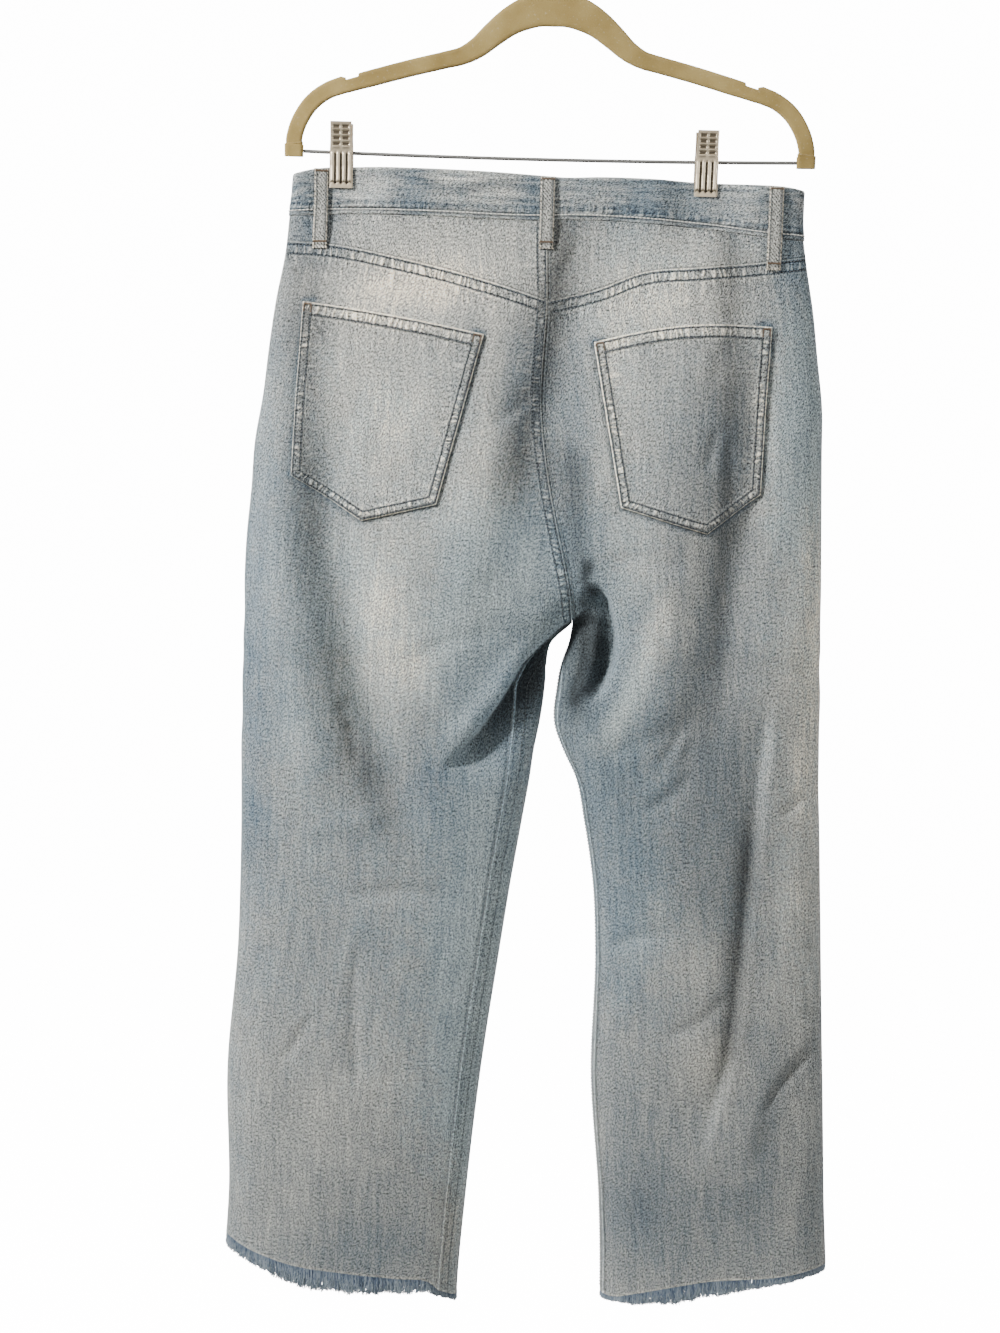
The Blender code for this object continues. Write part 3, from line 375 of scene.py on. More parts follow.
def bare(side, face, angle, z):
    """The section without its folds: x by the angle's cosine, y by a rounded power curve."""
    inner = column("left_in" if side == LEFT else "right_in", z) + side * CENTRE_GAP
    outer = column("left_out" if side == LEFT else "right_out", z)
    square = column("square", z)
    share = share_of(angle)
    x = inner + (outer - inner) * share
    grip = pinch(x, z)
    depth = column("depth", z) * (1 - grip) + PINCHED * grip
    under = np.clip((z - CROTCH_Z) / SEAT_ROUND, 0, 1)
    whole = 1 - (1 - under) ** 2
    leg = 1 - np.abs(np.cos(angle)) ** square
    body = 1 - share**square
    half = depth * np.sqrt(np.clip((1 - whole) * leg + whole * body, 0, None))
    turn = np.where((z > CROTCH_Z) & (angle < pi / 2), 1.0, np.sign(np.sin(angle)))
    return np.stack([x, -face * turn * half, z + 0 * x], axis=-1)


def cloth(side, face, angle, z, lift=0.0):
    """A point of the garment, moved out by its folds and by lift along the surface's normal."""
    angle, z = np.broadcast_arrays(np.asarray(angle, float), np.asarray(z, float))
    point = bare(side, face, angle, z)
    body = z > CROTCH_Z
    steady = np.where(body, np.maximum(angle, 0.05), angle)
    step = 0.01
    across = bare(side, face, steady + step, z) - bare(side, face, steady - step, z)
    up = bare(side, face, steady, z + 0.5) - bare(side, face, steady, z - 0.5)
    up = np.where(((z > CROTCH_Z - 1) & (z < CROTCH_Z + 1))[..., None], (0, 0, 1.0), up)
    normal = np.cross(across, up) * (side * face)
    normal /= np.linalg.norm(normal, axis=-1, keepdims=True)
    on_back = (face == BACK) == (body | (np.sin(angle) > 0))
    own, shared = slack(side, face, point[..., 0], z), 0.0
    for fold in FOLDS:
        if fold.side in (side, BOTH):
            here = on_back if fold.face == BACK else ~on_back
            height = np.where(here, fold_height(fold, point[..., 0], z), 0)
            own, shared = (own, shared + height) if fold.side == BOTH else (own + height, shared)
    fade = ramp(np.abs(np.sin(angle)), 0, 0.45)
    across_seam = ramp(z, CROTCH_Z, CROTCH_Z + 60) * (np.cos(angle) > 0)
    moved = own * fade + shared * np.maximum(fade, across_seam)
    return point + normal * (moved + lift)[..., None]


def angle_at(side, x, z):
    """The angle whose point has this x at this height."""
    inner = column("left_in" if side == LEFT else "right_in", z) + side * CENTRE_GAP
    outer = column("left_out" if side == LEFT else "right_out", z)
    return np.arccos(1 - 2 * np.clip((x - inner) / (outer - inner), 0, 1))


def laid(face, x, z, lift):
    """A point of the garment by its x and z, on whichever half it falls."""
    x, z, lift = np.broadcast_arrays(x, z, lift)
    centre = column("left_in", z)
    left = cloth(LEFT, face, angle_at(LEFT, x, z), z, lift)
    right = cloth(RIGHT, face, angle_at(RIGHT, x, z), z, lift)
    return np.where((x < centre)[..., None], left, right)


# ---------------------------------------------------------------- making meshes


def graded(start, end, spacing):
    """Places from start to end, as far apart as spacing says at each: equal steps of the running
    sum of its inverse."""
    place = np.linspace(start, end, 3000)
    sums = np.cumsum(1 / spacing(place))
    count = int(round(abs(end - start) / 3000 * sums[-1]))
    return np.interp(np.linspace(sums[0], sums[-1], count + 1), sums, place)


def grid_faces(rows, columns, start=0, closed=False):
    """Four-cornered faces of a grid of points, rows by columns, whose columns may close a ring."""
    c = np.arange(columns if closed else columns - 1)
    a = (np.arange(rows - 1)[:, None] * columns + c).ravel() + start
    b = (np.arange(rows - 1)[:, None] * columns + (c + 1) % columns).ravel() + start
    return np.stack([a, b, b + columns, a + columns], axis=1)


def new_piece(name, points, faces, looks, sharp=None):
    """A smooth mesh object from points in millimetres, with its edges past sharp degrees kept."""
    mesh = bpy.data.meshes.new(name)
    mesh.from_pydata((np.asarray(points).reshape(-1, 3) * MM).tolist(), [], faces)
    for look in looks:
        mesh.materials.append(look)
    mesh.shade_smooth()
    if sharp:
        mesh.set_sharp_from_angle(angle=radians(sharp))
    obj = bpy.data.objects.new(name, mesh)
    bpy.context.scene.collection.objects.link(obj)
    return obj


def keep(mesh, values):
    """Keeps numbers, or triples of them, at each point of a mesh, as named attributes."""
    for key, value in values.items():
        value = np.asarray(value, np.float32)
        triple = value.ndim > 1 and value.shape[-1] == 3
        kept = mesh.attributes.new(key, "FLOAT_VECTOR" if triple else "FLOAT", "POINT")
        kept.data.foreach_set("vector" if triple else "value", value.ravel())


def mesh_object(name, points, faces, looks, parts=None, uv=None, **values):
    """A piece from a grid's faces, with the look of each face, a UV map and values at points."""
    obj = new_piece(name, points, np.asarray(faces).tolist(), looks)
    mesh = obj.data
    if parts is not None:
        mesh.polygons.foreach_set("material_index", np.asarray(parts, np.int32))
    if uv is not None:
        corner = np.empty(len(mesh.loops), np.int32)
        mesh.loops.foreach_get("vertex_index", corner)
        at_corners = np.asarray(uv).reshape(-1, 2)[corner].ravel().astype(np.float32)
        mesh.uv_layers.new(name="cloth").data.foreach_set("uv", at_corners)
    keep(mesh, values)
    return obj


def fit(obj, slot, *nodes):
    """Makes a piece part of the object: it rides with the solids, and stands for nodes, whose
    parts it hides. slot is not used."""
    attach(obj, "root")
    if nodes:
        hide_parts(*nodes)
    return obj


def wall(name, outer, inner, looks, uv=None, sharp=60, **values):
    """A closed wall between two grids of points: both grids and a rim of faces between them."""
    rows, columns = outer.shape[:2]
    count = rows * columns
    face = grid_faces(rows, columns)
    back = grid_faces(rows, columns, count)[:, ::-1]
    index = np.arange(count).reshape(rows, columns)
    rim = np.concatenate([index[0], index[1:, -1], index[-1, -2::-1], index[-2:0:-1, 0]])
    after = np.roll(rim, -1)
    edge = np.stack([after, rim, rim + count, after + count], axis=1)
    faces = np.concatenate([face, back, edge])
    p = outer.reshape(-1, 3)[face]
    facing = np.cross(p[:, 2] - p[:, 0], p[:, 3] - p[:, 1])
    outward = (outer - inner).reshape(-1, 3)[face[:, 0]]
    if (facing * outward).sum() < 0:
        faces = faces[:, ::-1]
    points = np.concatenate([outer.reshape(-1, 3), inner.reshape(-1, 3)])
    parts = np.repeat([0, len(looks) - 1, 0], [len(face), len(back), len(edge)])
    twice = {key: np.concatenate([v.reshape(count, -1)] * 2).squeeze() for key, v in values.items()}
    uv = None if uv is None else np.concatenate([uv.reshape(-1, 2)] * 2)
    obj = mesh_object(name, points, faces, looks, parts, uv, **twice)
    obj.data.set_sharp_from_angle(angle=radians(sharp))
    return obj


def rings_solid(name, rings, look, **values):
    """A closed solid through rings of points, with a flat cap on each end."""
    rings = np.asarray(rings, float)
    stations, sides = rings.shape[:2]
    round_it = grid_faces(stations, sides, closed=True)
    last = (stations - 1) * sides
    faces = round_it.tolist() + [list(range(sides))[::-1], list(range(last, last + sides))]
    p = rings.reshape(-1, 3)
    q = p[round_it]
    normal = np.cross(q[:, 2] - q[:, 0], q[:, 3] - q[:, 1])
    if (normal * (q.mean(axis=1) - p.mean(axis=0))).sum() < 0:
        faces = [face[::-1] for face in faces]
    obj = new_piece(name, p, faces, (look,), sharp=50)
    keep(obj.data, values)
    return obj


def tubes(paths, radius, sides):
    """Round threads along many paths at once, paths by stations by 3: rings of points square to
    each path, radius for each thread and station. Returns the points and the faces."""
    paths = np.asarray(paths, float)
    many, stations = paths.shape[:2]
    way = np.gradient(paths, axis=1)
    way /= np.linalg.norm(way, axis=2, keepdims=True) + 1e-12
    side = np.cross(way, (0.31, 0.87, 0.19))
    side /= np.linalg.norm(side, axis=2, keepdims=True)
    other = np.cross(way, side)
    turn = np.arange(sides) * 2 * pi / sides
    ring = side[:, :, None] * np.cos(turn)[:, None] + other[:, :, None] * np.sin(turn)[:, None]
    radius = np.broadcast_to(radius, (many, stations))
    points = paths[:, :, None] + ring * radius[:, :, None, None]
    one = grid_faces(stations, sides, closed=True)
    faces = (one[None] + np.arange(many)[:, None, None] * stations * sides).reshape(-1, 4)
    return points.reshape(-1, 3), faces[:, ::-1]


def wire(name, path, radius, sides, look):
    """A round wire along one path, with both ends closed."""
    points, faces = tubes(path[None], radius, sides)
    last = len(points) - sides
    ends = [list(range(sides)), list(range(last, last + sides))[::-1]]
    obj = new_piece(name, points, faces.tolist() + ends, (look,), sharp=50)
    keep(obj.data, {"deep": np.zeros(len(points))})
    return obj


# ---------------------------------------------------------------- finishes


class Finish:
    """A material and its nodes. Each call adds one node and returns what it gives out."""

    def __init__(self, name, **sockets):
        self.material = bpy.data.materials.new(name)
        self.material.use_nodes = True
        self.tree = self.material.node_tree
        self.shader = self.tree.nodes["Principled BSDF"]
        for key, value in sockets.items():
            self.shader.inputs[key.replace("_", " ")].default_value = value

    def node(self, kind, out=0, inputs=(), **settings):
        made = self.tree.nodes.new("ShaderNode" + kind)
        for key, value in settings.items():
            setattr(made, key, value)
        for key, value in dict(inputs).items():
            if isinstance(value, bpy.types.NodeSocket):
                self.tree.links.new(value, made.inputs[key])
            else:
                made.inputs[key].default_value = value
        return made.outputs[out]

    def math(self, operation, a, b=0.0, c=0.0):
        return self.node("Math", inputs={0: a, 1: b, 2: c}, operation=operation)

    def plus(self, a, b):
        return self.math("ADD", a, b)

    def less(self, a, b):
        return self.math("SUBTRACT", a, b)

    def times(self, a, b, plus=None):
        """a times b, and more where plus is given."""
        if plus is None:
            return self.math("MULTIPLY", a, b)
        return self.math("MULTIPLY_ADD", a, b, plus)

    def mottled(self, total, pattern, weight):
        """total, and weight times how far a pattern is above its middle, 0.5."""
        return self.times(self.less(pattern, 0.5), weight, total)

    def place(self, x, y, z=0.0):
        return self.node("CombineXYZ", inputs={0: x, 1: y, 2: z})

    def value(self, name):
        return self.node("Attribute", "Fac", attribute_name=name)

    def parts(self, name):
        made = self.node("Attribute", "Vector", attribute_name=name)
        split = self.node("SeparateXYZ", inputs={0: made})
        return [split.node.outputs[i] for i in range(3)]

    def spot(self, scaled, source="Object"):
        """The piece's own coordinates in metres, or its UV map, times three numbers."""
        if source == "Object":
            place = self.node("TexCoord", "Object")
        else:
            place = self.node("UVMap", uv_map=source)
        return self.node("VectorMath", inputs={0: place, 1: scaled}, operation="MULTIPLY")

    def noise(self, place, scale=1.0, detail=2.0, rough=0.5):
        return self.node("TexNoise", inputs={"Vector": place, "Scale": scale, "Detail": detail,
                                             "Roughness": rough})

    def rise(self, value, low, high, bottom=0.0, top=1.0):
        return self.node("MapRange", inputs={0: value, 1: low, 2: high, 3: bottom, 4: top},
                         interpolation_type="SMOOTHSTEP")

    def band(self, value, low, full, fading, gone):
        """0 up to low, 1 from full to fading, and 0 again past gone."""
        return self.times(self.rise(value, low, full), self.rise(value, fading, gone, 1.0, 0.0))

    def ramp(self, value, *stops):
        out = self.node("ValToRGB", inputs={0: value})
        band = out.node.color_ramp
        while len(band.elements) < len(stops):
            band.elements.new(0.5)
        for element, (place, colour) in zip(band.elements, stops):
            element.position = place
            element.color = (*colour, 1)
        return out

    def mix(self, share, a, b, blend="MIX"):
        return self.node("Mix", 2, inputs={0: share, 6: a, 7: b}, data_type="RGBA",
                         blend_type=blend)

    def feed(self, key, value):
        self.tree.links.new(value, self.shader.inputs[key])

    def bump(self, height, strength=1.0, distance=MM):
        self.feed("Normal", self.node("Bump", inputs={"Strength": strength, "Distance": distance,
                                                      "Height": height}))


# The cloth's colour at each tone, on its outer side and on its inner side.
INDIGO = ((0.0, (0.040, 0.070, 0.112)), (0.25, (0.150, 0.194, 0.228)), (0.5, (0.292, 0.318, 0.318)),
          (0.75, (0.488, 0.502, 0.466)), (1.0, (0.95, 0.88, 0.71)))
WEFT = ((0.0, (0.10, 0.14, 0.18)), (0.4, (0.30, 0.34, 0.37)), (0.7, (0.52, 0.54, 0.54)),
        (1.0, (0.78, 0.77, 0.72)))
# Across a seam, in widths of its band: where each line starts and ends, and how much paler it is.
# The first is a painted shadow outside the turned edge, and the second the turned edge's pale cord,
# partly worn and partly a painted highlight.
SEAM_LINES = ((-0.30, 0.0, -0.55), (-0.05, 0.12, 0.36), (0.06, 0.31, -1.10), (0.75, 1.00, -1.00),
              (0.98, 1.14, 0.16))
UV_UNIT = 10  # the cloth's UV map is in centimetres


def make_denim(name, stops=INDIGO, turned=False, shift=0.0, streak=0.50, slubs=0.40,
               ridges=0.22, pitch=1.95, tilt=0.85):
    """Washed twill. The tone kept at each point is mottled by noise from 1 to 60 mm and by the
    twill's diagonal, a sine of (across - up), and runs through a ramp from indigo to cream.
    Along a seam a painted shadow lies outside the turned edge, the turned edge is a pale cord,
    partly worn and partly a painted highlight, with a dark line inside it, narrow pale puckers
    cross the band to a second dark line, and faint ripples run out beyond. The puckers, ripples,
    mottle, grain and twill lift the surface, and the shade kept at each point, painted shade,
    darkens it. streak, slubs and ridges are the strength of the threads, of the thick threads and
    of the twill, pitch is the twill's in millimetres, and turned lays the weave across."""
    f = Finish(name, Roughness=0.9, Specular_IOR_Level=0.2, Sheen_Weight=0.12, Sheen_Roughness=0.5)
    plane = f.node("SeparateXYZ", inputs={0: f.node("UVMap", uv_map="cloth")}).node.outputs
    across, up = (plane[1], plane[0]) if turned else (plane[0], plane[1])

    def woven(wide, tall, detail=2.0, rough=0.5, lean=0.0):
        """Noise whose grains are wide by tall in millimetres, leaning along the twill."""
        x = f.times(f.less(across, f.times(up, lean)), UV_UNIT / wide)
        return f.noise(f.place(x, f.times(up, UV_UNIT / tall)), 1.0, detail, rough)

    diagonal = f.times(f.less(across, f.times(up, tilt)), 2 * pi * UV_UNIT / pitch)
    twill = f.math("SINE", f.plus(diagonal, f.times(woven(7.0, 12.0), 2.0)))
    twill = f.times(twill, f.rise(woven(14, 22), 0.35, 0.6, 0.25, 1.0))
    grain = f.rise(woven(1.25, 2.2, 1.0, 0.5, 0.4), 0.30, 0.70)
    speck = f.rise(woven(0.95, 1.3, 0.0, 0.5), 0.32, 0.68)
    thread = woven(2.2, 40.0, 2.0, 0.6)
    slub = woven(5.0, 85.0, 2.0, 0.5)
    mottle = f.noise(f.spot((75, 75, 60)), detail=4.0, rough=0.62)
    cloud = f.noise(f.spot((17, 17, 12)), detail=3.0, rough=0.55)
    tone, light = f.plus(f.value("tone"), shift), 1.0
    for pattern, weight in ((thread, streak * 0.45), (slub, slubs * 0.45), (mottle, 0.24),
                            (cloud, 0.26), (grain, 0.06)):
        tone = f.mottled(tone, pattern, weight)
    for pattern, weight in ((grain, 0.92), (speck, 0.90), (thread, streak), (slub, slubs * 0.7)):
        light = f.mottled(light, pattern, weight)
    light = f.times(twill, ridges, light)

    # the puckers: pale ribs at an uneven beat, each there by luck
    off, run, strength = f.parts("seam")
    inside = f.band(off, 0.12, 0.24, 0.80, 0.90)
    beyond = f.band(off, 1.0, 1.12, 1.15, 3.2)
    jitter = f.noise(f.place(f.times(run, 0.085), f.times(off, 0.35), strength))
    beat = f.less(f.math("FRACT", f.times(jitter, 3.2, f.times(run, 0.19))), 0.5)
    luck = f.rise(f.noise(f.place(f.times(run, 0.12), off, 4.0)), 0.35, 0.62)
    rib = f.times(f.rise(f.math("ABSOLUTE", beat), 0.08, 0.34, 1.0, 0.0), luck)
    reach = f.times(f.times(beyond, 0.50, inside), f.value("rib"))
    ribs = f.times(f.less(rib, 0.28), reach)
    tone, light = f.times(ribs, 0.30, tone), f.times(ribs, 0.58, light)
    for low, high, amount in SEAM_LINES:
        middle = (low + high) / 2
        line = f.times(f.times(f.band(off, low, middle, middle, high), strength), amount)
        light = f.plus(light, line)
        tone = f.times(line, 0.35, tone)
    light = f.times(f.math("MAXIMUM", light, 0.10), f.less(1.0, f.value("shade")))

    # bluer or creamier, in patches of two sizes
    cast = f.value("warm")
    for scale in ((260, 260, 200), (34, 34, 22)):
        cast = f.times(f.noise(f.spot(scale)), 0.40, cast)
    cast = f.mix(f.rise(cast, 0.07, 0.55), (0.90, 1.0, 1.07, 1), (1.045, 1.0, 0.965, 1))
    colour = f.mix(1.0, f.ramp(tone, *stops), cast, "MULTIPLY")
    f.feed("Base Color", f.mix(1.0, colour, light, "MULTIPLY"))
    height = f.times(twill, 0.05, f.times(grain, 0.10))
    f.bump(f.times(ribs, 1.3, f.times(mottle, 0.7, height)), 0.8)
    return f.material


def make_thread(name, root, tip, spread=0.25):
    """Cotton thread: from root to tip along its own length, mottled and with a fine twist."""
    f = Finish(name, Roughness=0.85, Sheen_Weight=0.2)
    at = f.mottled(f.value("way"), f.noise(f.spot((120, 120, 40))), spread * 2)
    at = f.mottled(at, f.noise(f.spot((900, 900, 900))), spread)
    middle = tuple((a + b) / 2 for a, b in zip(root, tip))
    f.feed("Base Color", f.ramp(at, (0.0, root), (0.5, middle), (1.0, tip)))
    f.bump(f.noise(f.spot((2500, 2500, 2500))), 0.5, 0.2 * MM)
    return f.material


def make_flock():
    """Short velvet flock on moulded plastic: fine speckles, a soft sheen and pale flecks."""
    f = Finish("flock", Roughness=0.95, Specular_IOR_Level=0.15, Sheen_Weight=0.35,
               Sheen_Roughness=0.5)
    fine = f.noise(f.spot((1500, 1500, 1500)))
    speck = f.rise(f.noise(f.spot((640, 640, 640)), detail=1.0), 0.68, 0.76)
    cloud = f.noise(f.spot((30, 30, 30)), detail=3.0)
    colour = f.ramp(f.mottled(cloud, fine, 0.35), (0.2, (0.270, 0.185, 0.055)),
                    (0.5, (0.385, 0.275, 0.092)), (0.8, (0.49, 0.365, 0.140)))
    f.feed("Base Color", f.mix(f.times(speck, 0.30), colour, (0.70, 0.62, 0.44, 1)))
    f.bump(fine, 0.6, 0.3 * MM)
    return f.material


def make_metal(name, colour, dark, roughness):
    """Plated metal: faint brushed streaks, a smudged roughness, and dark at the points marked deep:
    grime in the recesses, and on the clips painted shade as well.
    """
    f = Finish(name, Metallic=1.0)
    brushed = f.noise(f.spot((2600, 2600, 160)))
    smudge = f.noise(f.spot((130, 130, 130)), detail=3.0)
    deep = f.value("deep")
    dull = (*(c * 0.72 for c in colour), 1)
    pale = f.mix(f.times(brushed, 0.5), (*colour, 1), dull)
    f.feed("Base Color", f.mix(deep, pale, (*dark, 1)))
    f.feed("Roughness", f.plus(f.times(smudge, 0.22), f.times(deep, 0.35, roughness)))
    f.bump(brushed, 0.15, 0.1 * MM)
    return f.material


denim = make_denim("washed_denim")
band_denim = make_denim("waistband_denim", turned=True, streak=0.90, slubs=0.60)
loop_denim = make_denim("loop_denim", streak=0.16, slubs=0.14, ridges=0.50, pitch=2.9, tilt=-0.85)
weft_side = make_denim("denim_inside", WEFT, shift=0.05)
inner_denim = make_denim("facing_denim", shift=-0.18)
cord_thread = make_thread("waist_cord", (0.60, 0.60, 0.55), (0.92, 0.90, 0.82))
tonal_thread = make_thread("tonal_thread", (0.045, 0.055, 0.062), (0.15, 0.17, 0.175))
brown_thread = make_thread("brown_thread", (0.05, 0.035, 0.022), (0.18, 0.12, 0.07))
frayed = make_thread("frayed_threads", (0.050, 0.080, 0.130), (0.36, 0.42, 0.46), 0.24)
flock = make_flock()
plate = make_metal("plated_steel", (0.92, 0.79, 0.59), (0.022, 0.016, 0.010), 0.26)
wire_metal = make_metal("wire_steel", (0.30, 0.295, 0.28), (0.03, 0.03, 0.03), 0.50)
brass = make_metal("aged_brass", (0.55, 0.42, 0.24), (0.05, 0.035, 0.02), 0.34)

# ---------------------------------------------------------------- tone of the cloth

# Bands of painted shade down the cloth's folds, and below them bands along its ridges that are
# paler, partly worn and partly a painted highlight: the half width of each, how much darker or
# paler it is, and its line.
Streak = namedtuple("Streak", "width amount points")
HOLLOWS = (
    Streak(22, 0.50,
         ((-208, -215), (-205, -300), (-203, -420), (-198, -540), (-178, -645), (-152, -730),
          (-124, -800), (-100, -880))),
    Streak(16, 0.62,
         ((14, -215), (13, -290), (8, -350), (-3, -400), (-17, -445), (-25, -490), (-27, -540))),
    Streak(6.5, 0.66, ((44, -546), (42, -560), (39, -571), (47, -582), (53, -594))),
    Streak(7, 0.48, ((50, -586), (47, -603), (46, -624), (42, -645), (37, -666), (28, -690))),
    Streak(13, 0.50, ((22, -440), (28, -480), (32, -530), (34, -580))),
    Streak(12, 0.44,
         ((140, -110), (150, -250), (154, -340), (156, -420), (158, -500), (158, -580),
          (156, -660), (150, -730), (146, -800))),
    Streak(12, 0.60, ((192, -740), (190, -850), (188, -920), (184, -990), (170, -1070))),
    Streak(9, 0.26, ((272, -975), (248, -1008), (230, -1035), (214, -1072), (204, -1120))),
)
CRESTS = (
    Streak(16, 0.12, ((46, -330), (55, -384), (50, -459), (44, -530))),
    Streak(22, 0.14, ((62, -290), (64, -383), (70, -472), (86, -560), (96, -620))),
    Streak(12, 0.34, ((116, -560), (104, -612), (84, -670), (62, -716), (50, -740))),
    Streak(12, 0.12, ((134, -490), (134, -580), (122, -660))),
    Streak(12, 0.16, ((-44, -290), (-42, -380), (-50, -450), (-56, -510))),
    Streak(22, 0.16, ((-134, -694), (-96, -644), (-60, -602), (-24, -566), (10, -540))),
)
# Painted shade in round patches, as Fade rows whose amount is how much darker; below 0 it is
# painted light.
SHADE_PATCHES = {
    BACK: (
        Fade(-2, -668, 18, 40, 0.40), Fade(54, -634, 9, 30, 0.34), Fade(29, -652, 15, 44, 0.36),
        Fade(26, -700, 16, 24, 0.16), Fade(39, -593, 5, 7, 0.60), Fade(38, -682, 13, 15, 0.34),
        Fade(58, -588, 5, 9, -0.34), Fade(68, -742, 36, 90, 0.21), Fade(188, -720, 42, 90, 0.08),
        Fade(150, -820, 60, 80, 0.15), Fade(136, -735, 40, 50, 0.08),
        Fade(190, -1140, 90, 60, 0.15), Fade(225, -1030, 24, 70, 0.12),
        Fade(112, -1155, 36, 85, 0.10), Fade(-145, -1165, 60, 70, 0.11),
    ),
    FRONT: (Fade(0, -600, 26, 30, 0.3),),
}
# The leg's two hanging folds: how far the painted shadow under each reaches, how dark it is, and
# how much paler the painted highlight on the lip above it is.
Hang = namedtuple("Hang", "fold reach shadow lip")
HANGS = (Hang(LEFT_HANG, 24, 0.77, 0.34), Hang(RIGHT_HANG, 15, 0.58, 0.0))


def streaked(streaks, x, z):
    """A sum of soft bands, each a bell curve of the distance to its line, fading at both ends."""
    total = np.zeros(np.broadcast_shapes(np.shape(x), np.shape(z)))
    for streak in streaks:
        away, _, share = nearest_on(streak.points, x, z)
        ends = ramp(share, 0, 0.25) * ramp(1 - share, 0, 0.25)
        total = total + streak.amount * ends * bell(away, streak.width)
    return total


def spotted(rows, x, z, total=0.0):
    """total and a sum of soft round patches, each a bell curve of the distance over its half
    width and height."""
    for row in rows:
        away = ((x - row.x) / row.wide) ** 2 + ((z - row.z) / row.tall) ** 2
        total = total + row.amount * np.exp(-away)
    return total


def tone_at(face, x, z):
    """The cloth's tone: a middle tone, its patches, some worn and some painted light and shade, and
    the ridges paler, partly worn and partly a painted highlight.
    """
    total = spotted(FADES[face], x, z, np.full(np.shape(x), 0.50))
    return total + (streaked(CRESTS, x, z) if face == BACK else 0)


# Where the cloth is creamier, or bluer, than elsewhere.
CREAM = (
    Fade(-140, -1165, 90, 70, 0.36), Fade(100, -1150, 60, 70, 0.25),
    Fade(-130, -320, 90, 50, 0.46), Fade(150, -560, 30, 200, 0.36),
    Fade(170, -1120, 90, 150, 0.40), Fade(-30, -380, 30, 90, 0.10),
    Fade(-10, -615, 60, 80, -0.85), Fade(66, -720, 50, 150, -0.22),
    Fade(-44, -940, 36, 280, -0.60), Fade(226, -420, 34, 120, -0.36),
    Fade(-210, -620, 70, 150, -0.20), Fade(90, -880, 40, 90, -0.18),
    Fade(-190, -1060, 60, 110, 0.14), Fade(-110, -850, 90, 160, -0.06),
)


def warm_at(face, x, z):
    """How much creamier the cloth is than its middle colour: a sum of soft round patches."""
    return spotted(CREAM if face == BACK else (), x, z, 0 * (x + z))


def painted_shade_at(face, x, z):
    """The painted shade of the folds, up to 0.85, and painted light below 0: a sum of soft round
    patches, soft bands, and under each hanging fold a bell curve of the distance to its line, with
    a painted highlight on the lip above it."""
    total = spotted(SHADE_PATCHES[face], x, z)
    if face == BACK:
        total = total + streaked(HOLLOWS, x, z)
        for hang in HANGS:
            away, hand, share = nearest_on(hang.fold.points, x, z)
            ends = ramp(share, 0, 0.10) * ramp(1 - share, 0, 0.40)
            low = ramp(hand * away, -1.5, 1.5)
            total = total + hang.shadow * ends * low * bell(away, hang.reach)
            total = total - hang.lip * ends * (1 - low) * bell(away, 14)
    return np.clip(total, -0.4, 0.85)


def pocket_outline(patch):
    """The pocket's edge from its top inner corner round to its top outer corner."""
    return (patch.top_in, patch.bottom_in, patch.tip, patch.bottom_out, patch.top_out)


def run_of(points, axis):
    """The distance travelled along a grid's rows or columns, added up from its first point."""
    steps = np.linalg.norm(np.diff(points, axis=axis), axis=-1)
    first = np.zeros_like(np.take(steps, [0], axis=axis))
    return np.cumsum(np.concatenate([first, steps], axis=axis), axis=axis)


def nearest_seam(*seams):
    """Of several seams, each (distance, width, run, strength, puckers), the one that is nearest
    for its width, as the values that the finish reads."""
    shape = np.broadcast_shapes(*(np.shape(part) for seam in seams for part in seam))
    off = np.stack([np.broadcast_to(seam[0] / seam[1], shape) for seam in seams])
    pick = off.argmin(axis=0)[None]
    parts = [off] + [np.stack([np.broadcast_to(seam[i], shape) for seam in seams])
                     for i in (2, 3, 4)]
    off, run, strength, rib = (np.take_along_axis(part, pick, 0)[0] for part in parts)
    return {"seam": np.stack([np.minimum(off, 4), run, strength], axis=-1), "rib": rib}


PLAIN = (1e9, 1.0, 0.0, 0.0, 0.0)  # a seam too far off to be seen


# ---------------------------------------------------------------- leg panels


def yoke_edge(side):
    """A function for the back panel's top edge: its height at a share of the way to the side."""
    return lambda share: along(YOKE_SEAM[side], share) - GAP / 2


def waist_z(side, share):
    """The height of the waistband's lower edge at a share of the way to the side."""
    return along(BAND_BOTTOM, side * share * HALF_WAIST)


def scoop(side, share):
    """The front panel's top edge: the waist seam, then down round the pocket's mouth."""
    out = np.clip((share - SCOOP_STARTS) / (1 - SCOOP_STARTS), 0, 1)
    return waist_z(side, share) - GAP - SCOOP_DEEP * (1 - (1 - out) ** 1.6) ** 0.8


def panel_columns(side, face, fine, coarse):
    """Shares across a panel, evenly spaced round its section and closer at its inner seam."""
    share = np.linspace(0, 1, 600)
    long = np.zeros(600)
    for z in (-450.0, -900.0):
        start = inseam_angle(side, z) * face if z < CROTCH_Z else 0.0
        points = bare(side, face, start + (pi - start) * share, np.full(600, z))
        long += run_of(points, 0) / 2
    places = graded(0.0, long[-1], lambda s: np.where(s < 13, fine, coarse))
    return np.interp(places, long, share)


